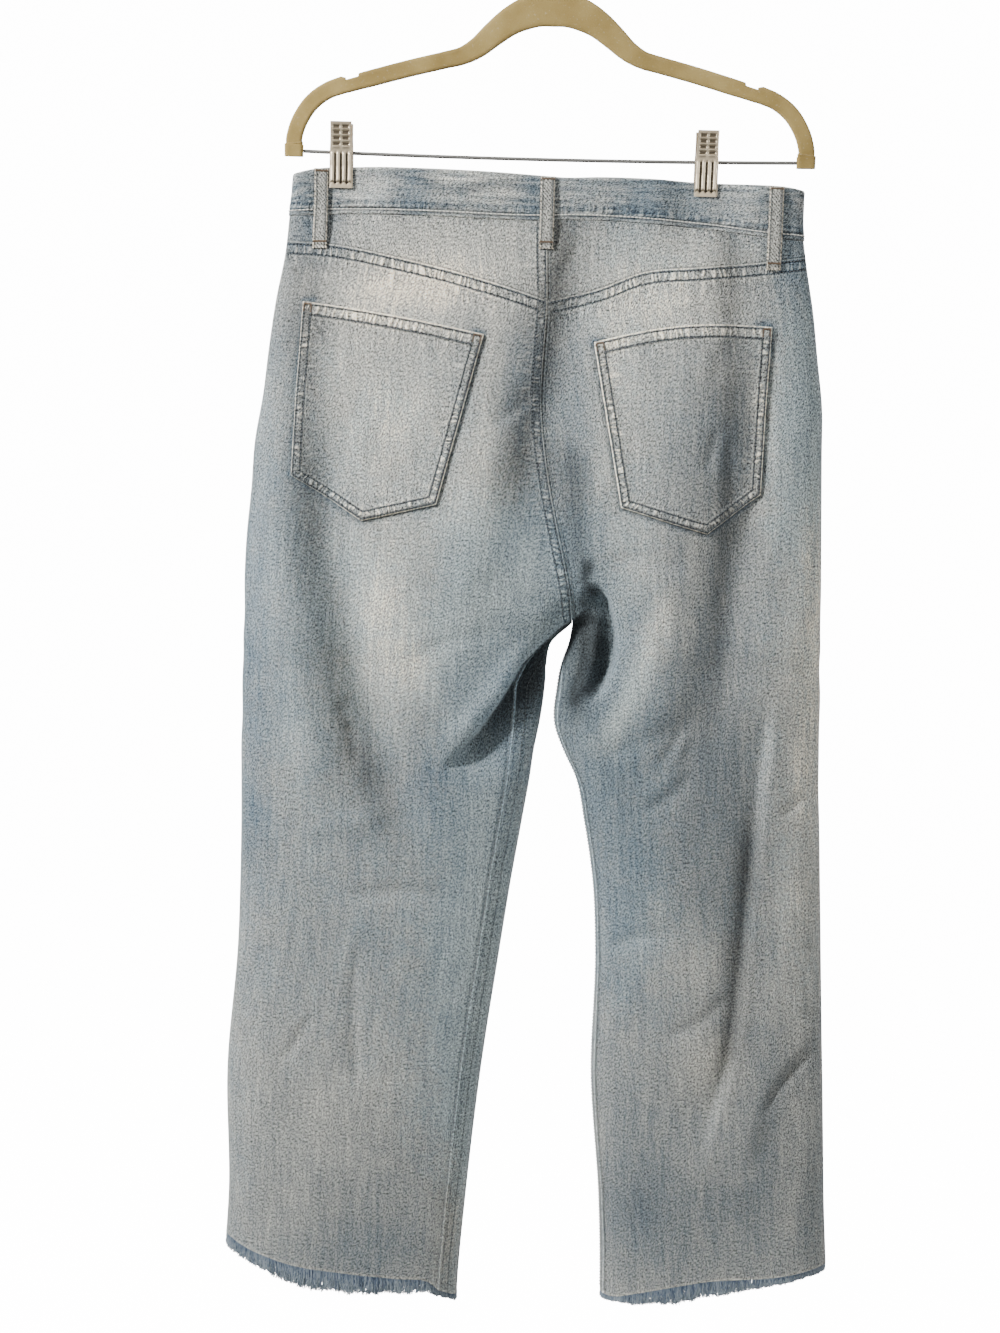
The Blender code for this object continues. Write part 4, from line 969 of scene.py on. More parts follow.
def panel_grid(side, face, top, fine=1.5, middle=2.3, coarse=3.3):
    """Angles and heights of a leg panel from its top edge to its hem: closest rows along the top
    seam and round the crotch."""
    across = panel_columns(side, face, fine, coarse)
    highest, lowest = -315.0 if face == BACK else -272.0, -1225.0

    def spacing(z):
        near_top = highest - z < 13
        folded = (z < -560) & (z > -765)
        return np.where(near_top, fine, np.where(folded, middle, coarse))

    upper = graded(highest, CROTCH_Z, spacing)
    to_crotch = (highest - upper) / (highest - CROTCH_Z)
    lower = graded(CROTCH_Z, lowest, spacing)[1:]
    to_hem = (CROTCH_Z - lower) / (CROTCH_Z - lowest)
    angle = across * pi
    edge = top(share_of(angle))
    upper_z = edge + (CROTCH_Z - edge) * to_crotch[:, None]
    hem = along(HEM[side, face], across)
    lower_z = CROTCH_Z + (hem - CROTCH_Z) * to_hem[:, None]
    start = inseam_angle(side, lower_z) * face
    lower_angle = start + (pi - start) * across
    z = np.concatenate([upper_z, lower_z])
    angle = np.concatenate([np.broadcast_to(angle, upper_z.shape), lower_angle])
    at_seam = np.where(z > CROTCH_Z + 0.01, 0.0, 0.004)
    return angle + (1 - across) * at_seam - across * 0.004, z


def lapped(off, width, height=0.55):
    """The rise of a lapped seam: full at its turned edge, gone just past its second stitch line,
    and sunk a little along both lines of stitches."""
    step = height * (1 - ramp(off, width - 1, width + 2.5))
    sunk = 0.2 * (bell(off - 2, 0.9) + bell(off - width + 1.2, 0.9))
    return step - sunk * (off < width + 6)


TOP_BAND, CENTRE_BAND = 11.5, 9.5  # how wide the lapped seams are


def make_panel(side, word, face):
    """A leg panel on its grid: lapped seams lift it, the dark lines beside the turned edge and
    round the pockets are drawn into its shade, and the inseam has a pale edge."""
    back = face == BACK
    angle, z = panel_grid(side, face, yoke_edge(side) if back else lambda share: scoop(side, share),
                          *((1.5, 2.3, 3.3) if back else (2.2, 3.6, 4.6)))
    flat = cloth(side, face, angle, z)
    u, v = run_of(flat, 1), run_of(flat, 0)
    side_off = u[:, -1:] - u
    body = z > CROTCH_Z
    centre_here = ramp(z, CROTCH_Z + 4, CROTCH_Z + 30)
    lift = lapped(v, TOP_BAND)
    if side == LEFT:
        lift = np.maximum(lift, lapped(u, CENTRE_BAND) * centre_here)
    lift = lift * ramp(side_off, 0, 6)
    x = flat[..., 0]
    behind = ramp(-flat[..., 1], -5, 5)
    tone, shade, warm = (behind * at(BACK, x, z) + (1 - behind) * at(FRONT, x, z)
                         for at in (tone_at, painted_shade_at, warm_at))
    tone = tone + 0.24 * bell(z - z[-1:], 1.3)
    turned_edge = ~body * ramp(CROTCH_Z - z, 20, 50)
    if back:
        dark = 0.62 * turned_edge * bell(u - 2.3, 1.0)
        for patch in POCKETS.values():
            away, _, _ = nearest_on(pocket_outline(patch), x, z)
            tone = tone - 0.20 * bell(away, 2.2) - 0.06 * bell(away, 6)
            dark = np.maximum(dark, 0.62 * bell(away, 1.9))
            outward = np.sign(patch.top_out[0] - patch.top_in[0])
            for corner, inward in ((patch.top_in, outward), (patch.top_out, -outward)):
                spot = np.hypot((x - corner[0] - 7 * inward) / 2.6, z - corner[1] - 1.5)
                tone = tone - 0.35 * bell(spot, 3.2)
                dark = np.maximum(dark, 0.30 * bell(spot, 3))
        shade = np.where(dark > 0.04, np.maximum(shade, dark), shade)
        shade = shade - turned_edge * 1.5 * bell(u, 0.85)
    centre_width, centre_strength = (CENTRE_BAND, 0.9) if side == LEFT else (4.0, 0.45)
    seam = nearest_seam(
        (v, TOP_BAND, u, 1.0 if back else 0.75, 1.0 if back else 0.8),
        (u, np.where(body, centre_width, 5.0 if back else 11.0), z,
         np.where(body, centre_strength, 0.15),
         np.where(body, centre_strength, 0.1 if back else 0.3)),
        (side_off, 7.0, z + 400, 0.12, 0.25),
    )
    sense = side * face
    uv = np.stack([-side_off * sense, z], axis=-1) / UV_UNIT
    name = f"{'back' if back else 'front'}_{word}"
    piece = wall(f"denim_{name}", cloth(side, face, angle, z, lift),
                 cloth(side, face, angle, z, -CLOTH), (denim, weft_side), uv,
                 tone=tone, shade=shade, warm=warm, **seam)
    return fit(piece, "denim", name)


def make_yoke(side, word):
    """A back yoke between the yoke seam and the waistband, on the panels' own columns."""
    angle = panel_columns(side, BACK, 1.5, 3.0) * pi
    share = share_of(angle)
    angle = np.minimum(angle, pi - 0.004)
    top = waist_z(side, share) - GAP
    bottom = along(YOKE_SEAM[side], share) + GAP / 2
    z = top + (bottom - top) * np.linspace(0, 1, 30)[:, None]
    angle = np.broadcast_to(angle, z.shape)
    flat = cloth(side, BACK, angle, z)
    u = run_of(flat, 1)
    up = bottom + 0 * z
    width, strength = (CENTRE_BAND, 0.85) if side == LEFT else (4.0, 0.45)
    seam = nearest_seam((z - up, 5.0, u, 0.15, 0.1), (u, width, z, strength, strength),
                        (u[:, -1:] - u, 7.0, z, 0.12, 0.2), (top - z, 6.0, u, 0.15, 0.4))
    lapping = lapped(u, CENTRE_BAND) if side == LEFT else 0.0
    lift = lapping * ramp(z - up, 0, 3) * ramp(top - z, 0, 3)
    uv = np.stack([(u - u.mean()) * side, z], axis=-1) / UV_UNIT
    tone = tone_at(BACK, flat[..., 0], z) + 0.02
    # painted shadow: a dark line along the yoke's lower edge, above the seam
    shade = np.maximum(painted_shade_at(BACK, flat[..., 0], z), 0.50 * bell(z - up, 0.9))
    piece = wall(f"denim_yoke_{word}", cloth(side, BACK, angle, z, lift),
                 cloth(side, BACK, angle, z, -CLOTH), (denim, weft_side), uv,
                 tone=tone, shade=shade, warm=warm_at(BACK, flat[..., 0], z), **seam)
    return fit(piece, "denim", f"yoke_{word}")


def make_facing(side, word):
    """The cloth behind a front pocket's mouth."""
    angle = np.linspace(pi / 2, pi - 0.004, 50)
    share = share_of(angle)
    top = waist_z(side, share) - GAP
    mouth = scoop(side, share)
    z = top + (mouth - SHOWN_FACING - top) * np.linspace(0, 1, 40)[:, None]
    flush = ramp(share, 0.93, 1.0) * ramp(z - mouth, 3, 14)
    lift = -(CLOTH + 3 * GAP) * (1 - flush)
    angle = np.broadcast_to(angle, z.shape)
    outer = cloth(side, FRONT, angle, z, lift)
    u = run_of(outer, 1)
    uv = np.stack([-u * side, z], axis=-1) / UV_UNIT
    tone = tone_at(FRONT, outer[..., 0], z)
    seam = nearest_seam((u[:, -1:] - u, 7.0, z, 0.15, 0.25))
    piece = wall(f"denim_facing_{word}", outer, cloth(side, FRONT, angle, z, lift - FACING),
                 (inner_denim, weft_side), uv, tone=tone, **seam)
    return fit(piece, "inner_denim", f"pocket_facing_{word}")


# ---------------------------------------------------------------- waistband, loops and pockets


def around_waist(turn, z, lift):
    """A point of the waist by its turn: 0 at the centre back, 2 pi at the centre front going
    right, -2 pi going left, and past those onto the other half of the front."""
    turn, z, lift = np.broadcast_arrays(turn, z, lift)
    size = np.abs(turn)
    right = turn > 0
    point = np.zeros((*turn.shape, 3))
    for side in (LEFT, RIGHT):
        own = right if side == RIGHT else ~right
        for face, angle, here in (
            (BACK, np.clip(size, 0, pi), own & (size <= pi)),
            (FRONT, np.clip(2 * pi - size, 0, pi), own & (size > pi) & (size <= 2 * pi)),
            (FRONT, np.clip(size - 2 * pi, 0, pi), ~own & (size > 2 * pi)),
        ):
            point = np.where(here[..., None], cloth(side, face, angle, z, lift), point)
    return point


BAND_STITCH = 4.2  # above the waistband's lower edge
# Across the waistband from its top: where its rows of points lie.
BAND_ROWS = (0, 0.012, 0.035, 0.07, 0.12, 0.2, 0.3, 0.4, 0.5, 0.58, 0.65, 0.71, 0.77, 0.82,
             0.86, 0.89, 0.92, 0.96, 0.985, 1.0)
# Along its back: the middle and half width of each worn place, and how much paler it is.
BAND_WEAR = ((-204, 16, -0.14), (-111, 14, -0.16), (-14, 12, -0.20), (88, 44, -0.16),
             (205, 16, -0.12), (-150, 24, 0.10), (-60, 40, 0.10), (30, 20, 0.04))


def waist_x(turn):
    """x at a turn of the waistband."""
    side = np.where(np.abs(turn) <= 2 * pi, 1, -1) * np.sign(turn)
    return side * HALF_WAIST * (1 - np.cos(turn)) / 2


def tucked(turn):
    """How far the button end sinks, to lie under the buttonhole end."""
    return ramp(turn, 2 * pi - 1.15, 2 * pi - 0.62) * (BAND + GAP)


def make_waistband():
    """One strip from the buttonhole end round the back to the button end, which lies under. Its
    turn is read at even steps of its length; its edges are rolled, its seam line is sunk, and
    puckers stand above that line."""
    rough = np.linspace(-2 * pi - OVERLAP_TOP, 2 * pi + OVERLAP_UNDER, 4000)
    long = run_of(around_waist(rough, np.full(4000, -250.0), 0.0), 0)
    turn = np.interp(np.linspace(0, long[-1], 430), long, rough)
    turn = np.where(np.abs(turn) < 1e-6, 1e-6, turn)
    x = waist_x(turn)
    top, bottom = along(BAND_TOP, x), along(BAND_BOTTOM, x)
    share = np.array(BAND_ROWS)[:, None]
    z = top + (bottom - top) * share
    below, above = top - z, z - bottom
    u = run_of(around_waist(turn + 0 * z, z, 0.0), 1)
    roll = -0.9 * bell(below, 0.9) - 0.45 * bell(above, 0.8)
    sunk = -0.35 * bell(above - BAND_STITCH, 1.0)
    wave = np.sin(u / 1.62 + 1.3 * np.sin(u / 23)) * np.sin(u / 7.3 + 1) * 0.5 + 0.5
    bead = 0.34 * wave * bell(above - BAND_STITCH - 3.4, 2.2)
    ease = 0.30 * np.sin(u / 17 + z / 9) * np.sin(u / 41 + 2)
    ease = ease * np.sin(pi * share) * (1 - pinch(x, z))
    creases = np.sin(z * 1.25 + 2.4 * np.sin(u / 33) + 1.3 * np.sin(u / 12.5))
    creases = creases * (0.5 + 0.5 * np.sin(u / 38 + z / 6))
    ease = ease + 0.20 * creases * ramp(below, 2, 6) * ramp(above, 9, 13)
    under = tucked(turn)
    turn = np.broadcast_to(turn, z.shape)
    lift = BAND_OUT - under + roll + sunk + bead + ease
    inner = around_waist(turn, z, BAND_OUT - BAND - under)
    inner[0] += (around_waist(turn[:1], z[:1], BAND_OUT - under[None]) - inner[:1])[0] * 0.25
    back = np.abs(turn) < pi
    tone = 0.48 + 0.11 * creases
    for centre, wide, amount in BAND_WEAR:
        tone = tone + np.where(back, amount * bell(x - centre, wide), 0)
    tone = tone + 0.14 * bell(below, 1.6) + 0.20 * bell(above, 1.1)
    ticks = wave * bell(above - BAND_STITCH - 4.5, 2.8)
    tone = tone - 0.18 * ticks
    seam = nearest_seam((above - BAND_STITCH + 0.7, 9.5, u, 0.0, 0.45), PLAIN)
    # painted shade: dark lines on both sides of the cord's stitch line, along the rolled lower edge
    # and in the creases' hollows, and painted light on the creases' crests; the ticks darken the
    # puckers
    shade = sum(amount * bell(above - BAND_STITCH - off, wide)
                for off, wide, amount in ((1.35, 0.7, 0.70), (-1.3, 0.6, 0.55)))
    shade = shade + 0.45 * bell(above, 0.8) + 0.32 * np.clip(-creases, 0, 1)
    shade = shade - 0.14 * np.clip(creases, 0, 1) + 0.28 * ticks
    uv = np.stack([u, z], axis=-1) / UV_UNIT
    piece = wall("denim_waistband", around_waist(turn, z, lift), inner, (band_denim, weft_side), uv,
                 tone=tone, shade=shade, **seam)
    return fit(piece, "denim", "waistband")


def loop_lift(loop, z):
    """How far a belt loop's underside stands off the panels at a height: clear of the waistband,
    nearer to the yoke below it, and a little slack between its ends."""
    top, seam = along(BAND_TOP, loop.x) - 0.5, along(BAND_BOTTOM, loop.x)
    over = BAND_OUT + 2 * GAP - (BAND_OUT - 0.4) * ramp(seam - z, 4, 18)
    return over + 0.8 * np.sin(pi * (top - z) / (top - loop.bottom))


def make_loop(word, loop):
    """A folded strip: rounded edges, two sunk stitch lines, and a fold under its lower bartack."""
    across = np.linspace(-0.5, 0.5, 15)
    top = along(BAND_TOP, loop.x) - 0.5
    middle = along(BAND_BOTTOM, loop.x) + 2
    heights = np.concatenate([np.linspace(top, middle, 28)[:-1],
                              np.linspace(middle, loop.bottom, 22)])
    lift = loop_lift(loop, heights)
    z = heights[:, None] + 0 * across
    x = loop.x + LOOP_WIDTH * across + 0 * z
    off = (0.5 - np.abs(across)) * LOOP_WIDTH + 0 * z
    end = np.minimum(z - loop.bottom, top - z)
    rounded = 0.85 * bell(off, 0.7) + 0.5 * bell(end, 0.8)
    sunk = 0.25 * bell(off - 2.0, 0.7)
    tacked = 0.5 * bell(z - loop.bottom - 5.5, 1.6)
    outer = laid(loop.face, x, z, lift[:, None] + LOOP - rounded - sunk - tacked)
    inner = laid(loop.face, x, z, lift[:, None])
    tone = 0.64 + 0.24 * bell(off - 0.9, 0.6) + 0.16 * bell(end, 2.6)
    # a painted shadow along both edges, and darker lines along the stitches and just above the
    # folded end
    shade = 0.17 + 0.55 * bell(off - 2.1, 0.75) + 0.45 * bell(off, 0.45)
    shade = shade + 0.45 * bell(z - loop.bottom - 3.4, 0.8)
    seam = nearest_seam((off, 20.0, z, 0.0, 0.0), PLAIN)
    uv = np.stack([x - loop.x, z], axis=-1) / UV_UNIT
    piece = wall(f"denim_loop_{word}", outer, inner, (loop_denim, weft_side), uv,
                 tone=tone, shade=shade, warm=0.55 + 0 * z, **seam)
    return fit(piece, "denim", f"belt_loop_{word}")


POCKET_BAND, MOUTH_BAND = 8.6, 11.5  # how wide a pocket's turned edge is


def patch_point(patch, u, v):
    """x and z of a pocket by its shares across and down: straight sides, an arc at the mouth and
    a corner in the middle of its foot."""
    top_x = patch.top_in[0] + (patch.top_out[0] - patch.top_in[0]) * u
    top_z = patch.top_in[1] + (patch.top_out[1] - patch.top_in[1]) * u + patch.rise * np.sin(pi * u)
    corners = (patch.bottom_in, patch.tip, patch.bottom_out)
    bottom_x = np.interp(u, (0, 0.5, 1), [corner[0] for corner in corners])
    bottom_z = np.interp(u, (0, 0.5, 1), [corner[1] for corner in corners])
    return top_x + (bottom_x - top_x) * v, top_z + (bottom_z - top_z) * v


def make_pocket(word, patch):
    """A patch with turned edges: raised within its two stitch lines, sunk along them, puckered
    between them, and rounded down to the panel at its rim."""
    half = graded(0, 0.5, lambda s: np.where(s < 0.075, 0.0075, 0.016))
    upper = graded(0, 0.5, lambda s: np.where(s < 0.09, 0.008, 0.016))
    u = np.concatenate([half, 1 - half[-2::-1]])
    v = np.concatenate([upper, 1 - half[-2::-1]])[:, None]
    x, z = patch_point(patch, u, v)
    edge = pocket_outline(patch)
    off, _, way = nearest_on(edge, x, z)
    total = sum(np.hypot(b[0] - a[0], b[1] - a[1]) for a, b in pairwise(edge))
    run = way * total
    mouth = patch_point(patch, u, 0 * v)[1] - z
    rim = np.minimum(off, mouth)
    turned = 1 - np.minimum(ramp(off, POCKET_BAND - 1, POCKET_BAND + 2),
                            ramp(mouth, MOUTH_BAND - 1, MOUTH_BAND + 2))
    lines = sum(bell(off - at, 0.8) for at in (1.9, POCKET_BAND - 0.8))
    lines = lines * ramp(mouth, 0, 3) + bell(mouth - MOUTH_BAND + 0.8, 0.8) * ramp(off, 2, 4)
    wave = np.sin(run / 1.05 + 1.6 * np.sin(run / 17)) * (0.6 + 0.4 * np.sin(run / 9.1))
    across = np.hypot(x - x[:, :1], z - z[:, :1])
    mouth_wave = np.sin(across / 1.3 + 1.4 * np.sin(across / 15)) * (0.6 + 0.4 * np.sin(across / 8))
    puckers = 0.20 * wave * bell(off - 5, 2.6) * ramp(mouth, 6, 14)
    puckers = puckers + 0.18 * mouth_wave * bell(mouth - 7, 3) * ramp(off, 3, 9)
    lift = PATCH_LIFT + PATCH + 0.55 * turned - 0.30 * lines + puckers - 1.1 * bell(rim, 0.75)
    seam = nearest_seam((off, POCKET_BAND, run, 1.0, 1.0), (mouth, MOUTH_BAND, across, 0.8, 0.8))
    tone = tone_at(BACK, x, z) + 0.17 * bell(rim, 0.9) + 0.06 * turned
    tone = tone + 0.12 * bell(mouth - 4, 4.5)
    uv = np.stack([x + 0 * z, z + 0 * x], axis=-1) / UV_UNIT
    outer = laid(BACK, x, z, lift)
    inner = laid(BACK, x, z, PATCH_LIFT - 0.25 * bell(off, 1.5) * (mouth > 3))
    drawn = sum(bell(off - at, 0.85) for at in (2.1, POCKET_BAND - 0.8)) * ramp(mouth, 1, 4)
    drawn = drawn + bell(mouth - MOUTH_BAND + 0.8, 0.85) * ramp(off, 1, 3)
    shade = np.maximum(painted_shade_at(BACK, x, z), 0.66 * drawn)
    piece = wall(f"denim_pocket_{word}", outer, inner, (denim, weft_side), uv,
                 tone=tone, shade=shade, warm=warm_at(BACK, x, z), **seam)
    return fit(piece, "denim", f"pocket_back_{word}")


# ---------------------------------------------------------------- stitching


class Stitching:
    """Collects lines of stitches. Each stitch is a short tapered grain laid along its line, five
    rings of four points, its middle lifted off the cloth and its ends sunk into it."""

    def __init__(self):
        self.points, self.faces, self.count = [], [], 0

    def line(self, path, ups, pitch=3.1, length=2.45, radius=0.34, start=0.0):
        steps = run_of(path, 0)
        middles = np.arange(start + pitch / 2, steps[-1] - length / 2, pitch)
        if not len(middles):
            return
        t = np.linspace(-1, 1, 5)
        at = middles[:, None] + t * length / 2
        place = np.stack([np.interp(at, steps, path[:, i]) for i in range(3)], axis=-1)
        up = np.stack([np.interp(at, steps, ups[:, i]) for i in range(3)], axis=-1)
        place = place + up * (radius * (0.75 - 1.25 * t**4))[:, None]
        way = np.gradient(place, axis=1)
        across = np.cross(way, up)
        across /= np.linalg.norm(across, axis=-1, keepdims=True) + 1e-9
        size = radius * (1 - 0.55 * t**4)
        ring = [place + (up * b + across * a * 1.15) * size[:, None]
                for a, b in ((1, 0), (0, 1), (-1, 0), (0, -1))]
        points = np.stack(ring, axis=2).reshape(-1, 3)
        one = np.concatenate([grid_faces(5, 4, closed=True), [[3, 2, 1, 0], [16, 17, 18, 19]]])
        faces = one[None] + (np.arange(len(middles)) * 20)[:, None, None] + self.count
        self.points.append(points)
        self.faces.append(faces.reshape(-1, 4))
        self.count += len(points)

    def on(self, surface, *place, raised=0.35, **sizes):
        """A line of stitches on a surface given by a function of its place and a lift."""
        base, above = surface(*place, raised), surface(*place, raised + 1.0)
        self.line(base, above - base, **sizes)

    def tack(self, start, end, up, width, pitch=0.62, radius=0.3):
        """A bartack: threads side by side, square to the way from start to end."""
        start, end, up = (np.array(p, float) for p in (start, end, up))
        way = end - start
        many = int(np.linalg.norm(way) / pitch)
        square = np.cross(way, up)
        square /= np.linalg.norm(square)
        for k in range(many):
            middle = start + way * (k + 0.5) / many
            path = np.stack([middle - square * width / 2, middle, middle + square * width / 2])
            self.line(path, np.stack([up] * 3), pitch=width, length=width * 0.98, radius=radius)

    def make(self, name, look, slot="denim"):
        points = np.concatenate(self.points)
        way = np.tile(np.repeat([0.35, 0.7, 0.9, 0.7, 0.35], 4), len(points) // 20)
        obj = mesh_object(name, points, np.concatenate(self.faces), (look,), way=way)
        return fit(obj, slot)


def stitch_panels(back, front):
    """The seams of the leg panels, on the functions that shape them."""
    for side, _ in SIDES:
        angle = np.linspace(0.06, pi - 0.12, 260)
        for down in (2.0, TOP_BAND - 1.3):
            back.on(partial(cloth, side, BACK), angle, yoke_edge(side)(share_of(angle)) - down)
        # the centre back, or the edge of the panel that lies under it
        z = np.linspace(-272.0, CROTCH_Z + 8, 260)
        for off in ((2.0, CENTRE_BAND - 1.3) if side == LEFT else (2.2,)):
            x = column("left_in", z) + side * off
            back.on(partial(cloth, side, BACK), angle_at(side, x, z), z,
                    raised=0.35 if side == LEFT else 0.05)
        # the inseam: one line on the back and one on the front's strip beyond it
        z = np.linspace(CROTCH_Z - 6, along(HEM[side, BACK], 0.0) + 2, 420)
        for face, off, store in ((BACK, 2.3, back), (FRONT, 9.5, front)):
            surface, start = partial(cloth, side, face), inseam_angle(side, z) * face
            near, far = surface(start + 0.004, z), surface(start + 0.02, z)
            unit = np.linalg.norm(far - near, axis=1) / 0.016
            store.on(surface, start + off / unit, z, raised=0.05)
        # the front pocket's mouth
        angle = np.linspace(pi * 0.502, pi - 0.05, 160)
        for down in (2.2, 8.6):
            front.on(partial(cloth, side, FRONT), angle, scoop(side, share_of(angle)) - down)


def stitch_fly(front):
    """Two curved lines round the fly, and the two lines of the centre front."""
    bend, foot = np.linspace(0, pi / 2, 40)[1:], FLY_Z[1] + 22
    for off in (33.0, 39.0):
        z = np.concatenate([np.linspace(FLY_Z[0], foot, 120),
                            foot - (off - 5) * 0.8 * np.sin(bend)])
        x = np.concatenate([np.full(120, off), 5 + (off - 5) * np.cos(bend)])
        front.on(partial(laid, FRONT), x, z, raised=0.05)
    z = np.linspace(FLY_Z[0], CROTCH_Z + 10, 200)
    for off in (-2.2, -8.4):
        front.on(partial(laid, FRONT), column("left_in", z) + off, z)


def stitch_pockets(back, tacks):
    """Two lines round each back pocket, one along its mouth, and tacks at its top corners."""
    raised = PATCH_LIFT + PATCH + 0.30
    for patch in POCKETS.values():
        for inset in (1.9, POCKET_BAND - 0.8):
            sides = list(pairwise(inset_outline(patch, inset)))
            x, z = (np.concatenate([np.linspace(a[i], b[i], 80) for a, b in sides])
                    for i in range(2))
            back.on(partial(laid, BACK), x, z, raised=raised, pitch=2.9)
        u = np.linspace(0.035, 0.965, 140)
        x, z = patch_point(patch, u, 0 * u)
        back.on(partial(laid, BACK), x, z - MOUTH_BAND + 0.8, raised=raised, pitch=2.9)
        for inner in (True, False):
            inverted_u(tacks, patch, inner)


def stitch_waist(band):
    """One line of thick cord round the waistband, above its lower edge."""
    turn = np.linspace(-2 * pi - OVERLAP_TOP + 0.08, 2 * pi + OVERLAP_UNDER - 0.2, 3000)
    z = along(BAND_BOTTOM, waist_x(turn)) + BAND_STITCH
    band.on(around_waist, turn, z, raised=BAND_OUT - 0.2 - tucked(turn),
            pitch=3.3, length=3.5, radius=0.50)


def stitch_loops(back, front, tacks):
    """A line near each edge of a belt loop, and a bartack at each end."""
    for loop in LOOPS.values():
        top = along(BAND_TOP, loop.x) - 3
        heights = np.linspace(top, loop.bottom + 7, 60)
        lift = loop_lift(loop, heights) + LOOP
        surface, store = partial(laid, loop.face), back if loop.face == BACK else front
        for off in (-LOOP_WIDTH / 2 + 2.0, LOOP_WIDTH / 2 - 2.0):
            store.on(surface, np.full(60, loop.x + off), heights, raised=lift - 0.25,
                     pitch=2.8, length=2.2, radius=0.3)
        for low, up_by in ((loop.bottom + 5.5, -0.35), (top + 0.5, -0.1)):
            x = loop.x + np.array([-1, 1]) * (LOOP_WIDTH / 2 - 0.8)
            at = surface(x, np.full(2, low), np.interp(low, heights[::-1], lift[::-1]) + up_by)
            tacks.tack(at[0], at[1], (0, -loop.face, 0), 1.9)


def make_stitching():
    """Every seam's lines of stitches and every bartack, gathered by kind of thread."""
    back, front, band, tacks = (Stitching() for _ in range(4))
    stitch_panels(back, front)
    stitch_fly(front)
    stitch_pockets(back, tacks)
    stitch_waist(band)
    stitch_loops(back, front, tacks)
    back.make("topstitching_back", tonal_thread)
    front.make("topstitching_front", tonal_thread)
    band.make("topstitching_waist", cord_thread)
    tacks.make("bartacks", brown_thread)


def inset_outline(patch, inset):
    """The pocket's outline moved in by inset: each side's line is shifted along its inward normal,
    and neighbours are crossed to find the corners."""
    edge = np.array(pocket_outline(patch), float)
    middle = edge.mean(axis=0)
    lines = []
    for a, b in pairwise(edge):
        d = (b - a) / np.linalg.norm(b - a)
        n = np.array([-d[1], d[0]])
        n *= np.sign((middle - a) @ n)
        lines.append((a + n * inset, d))
    corners = [lines[0][0] + lines[0][1] * 3]
    for (a, d), (b, e) in pairwise(lines):
        t = np.linalg.solve(np.array([d, -e]).T, b - a)[0]
        corners.append(a + d * t)
    a, d = lines[-1]
    corners.append(edge[-1] + (a - edge[-2]) - d * 3)
    return corners


def inverted_u(tacks, patch, inner):
    """The bartacks at a pocket's top corner: one along the mouth and one down each side of it."""
    wide, tall = 6.0, 6.5
    ends = (patch.top_in, patch.top_out) if inner else (patch.top_out, patch.top_in)
    corner, far = (np.array(end, float) for end in ends)
    low = np.array(patch.bottom_in if inner else patch.bottom_out, float)
    side = (far - corner) / np.linalg.norm(far - corner)
    down = (low - corner) / np.linalg.norm(low - corner)
    first = corner + side * 1.6 + down * 1.4
    second = first + side * wide
    for a, b, width in ((first, second, 1.9), (first, first + down * tall, 1.5),
                        (second, second + down * tall, 1.5)):
        p, q = laid(BACK, *np.stack([a, b], axis=1), PATCH_LIFT + PATCH + 0.5)
        tacks.tack(p, q, (0, -1, 0), width, radius=0.28)


# ---------------------------------------------------------------- fly, button and zip


ZIP_TAPE, TOOTH_PITCH = 0.75, 1.75


def make_fly():
    """The zip's woven tapes, its teeth and the shield behind them, inside the centre front."""
    rows = np.linspace(*FLY_Z, 40)[:, None]
    across = np.array([-13, -12.4, -8, -4, -2.2, 2.2, 4, 8, 12.4, 13.0]) - 0.5
    x, z = np.broadcast_arrays(across, rows)
    tape = -(CLOTH + 0.8)
    flat = np.stack([x, z], axis=-1) / UV_UNIT
    plain = {"tone": np.full(x.shape, 0.35), **nearest_seam((9.0 + 0 * x, 1.0, z, 0.0, 0.0))}
    fit(wall("zip_tape", laid(FRONT, x, z, tape), laid(FRONT, x, z, tape - ZIP_TAPE),
             (inner_denim,), flat, **plain), "aged_brass", "zip")
    count = int((FLY_Z[0] - FLY_Z[1] - 6) / TOOTH_PITCH)
    height = FLY_Z[0] - 3 - TOOTH_PITCH * np.arange(count)
    lean = np.where(np.arange(count) % 2, 1.0, -1.0)
    corner = np.array([(a, b, c) for a in (-1, 1) for b in (0, 1) for c in (-1, 1)], float)
    middle = laid(FRONT, np.full(count, -0.5), height, tape - ZIP_TAPE)
    aside = np.stack([lean * 0.7, 0 * lean, 0 * lean], 1)
    teeth = middle[:, None] + corner * (1.9, -0.62, 0.5) + aside[:, None]
    box = np.array([(0, 1, 3, 2), (4, 6, 7, 5), (0, 4, 5, 1), (2, 3, 7, 6), (0, 2, 6, 4),
                    (1, 5, 7, 3)])
    faces = (box[None, :, ::-1] + np.arange(count)[:, None, None] * 8).reshape(-1, 4)
    deep = np.tile([0.0, 0.0, 0.25, 0.25] * 2, count)
    fit(mesh_object("zip_teeth", teeth, faces, (brass,), deep=deep), "aged_brass")
    x, z = np.broadcast_arrays(np.linspace(-12.0, 27.0, 16), rows)
    shield = tape - 2.0
    flat = np.stack([x, z], axis=-1) / UV_UNIT
    plain = {"tone": np.full(x.shape, 0.5), **nearest_seam((27.0 - x, 6.0, z, 0.5, 0.3))}
    piece = wall("denim_fly_shield", laid(FRONT, x, z, shield),
                 laid(FRONT, x, z, shield - SHIELD), (inner_denim, weft_side), flat, **plain)
    return fit(piece, "inner_denim", "fly_shield")


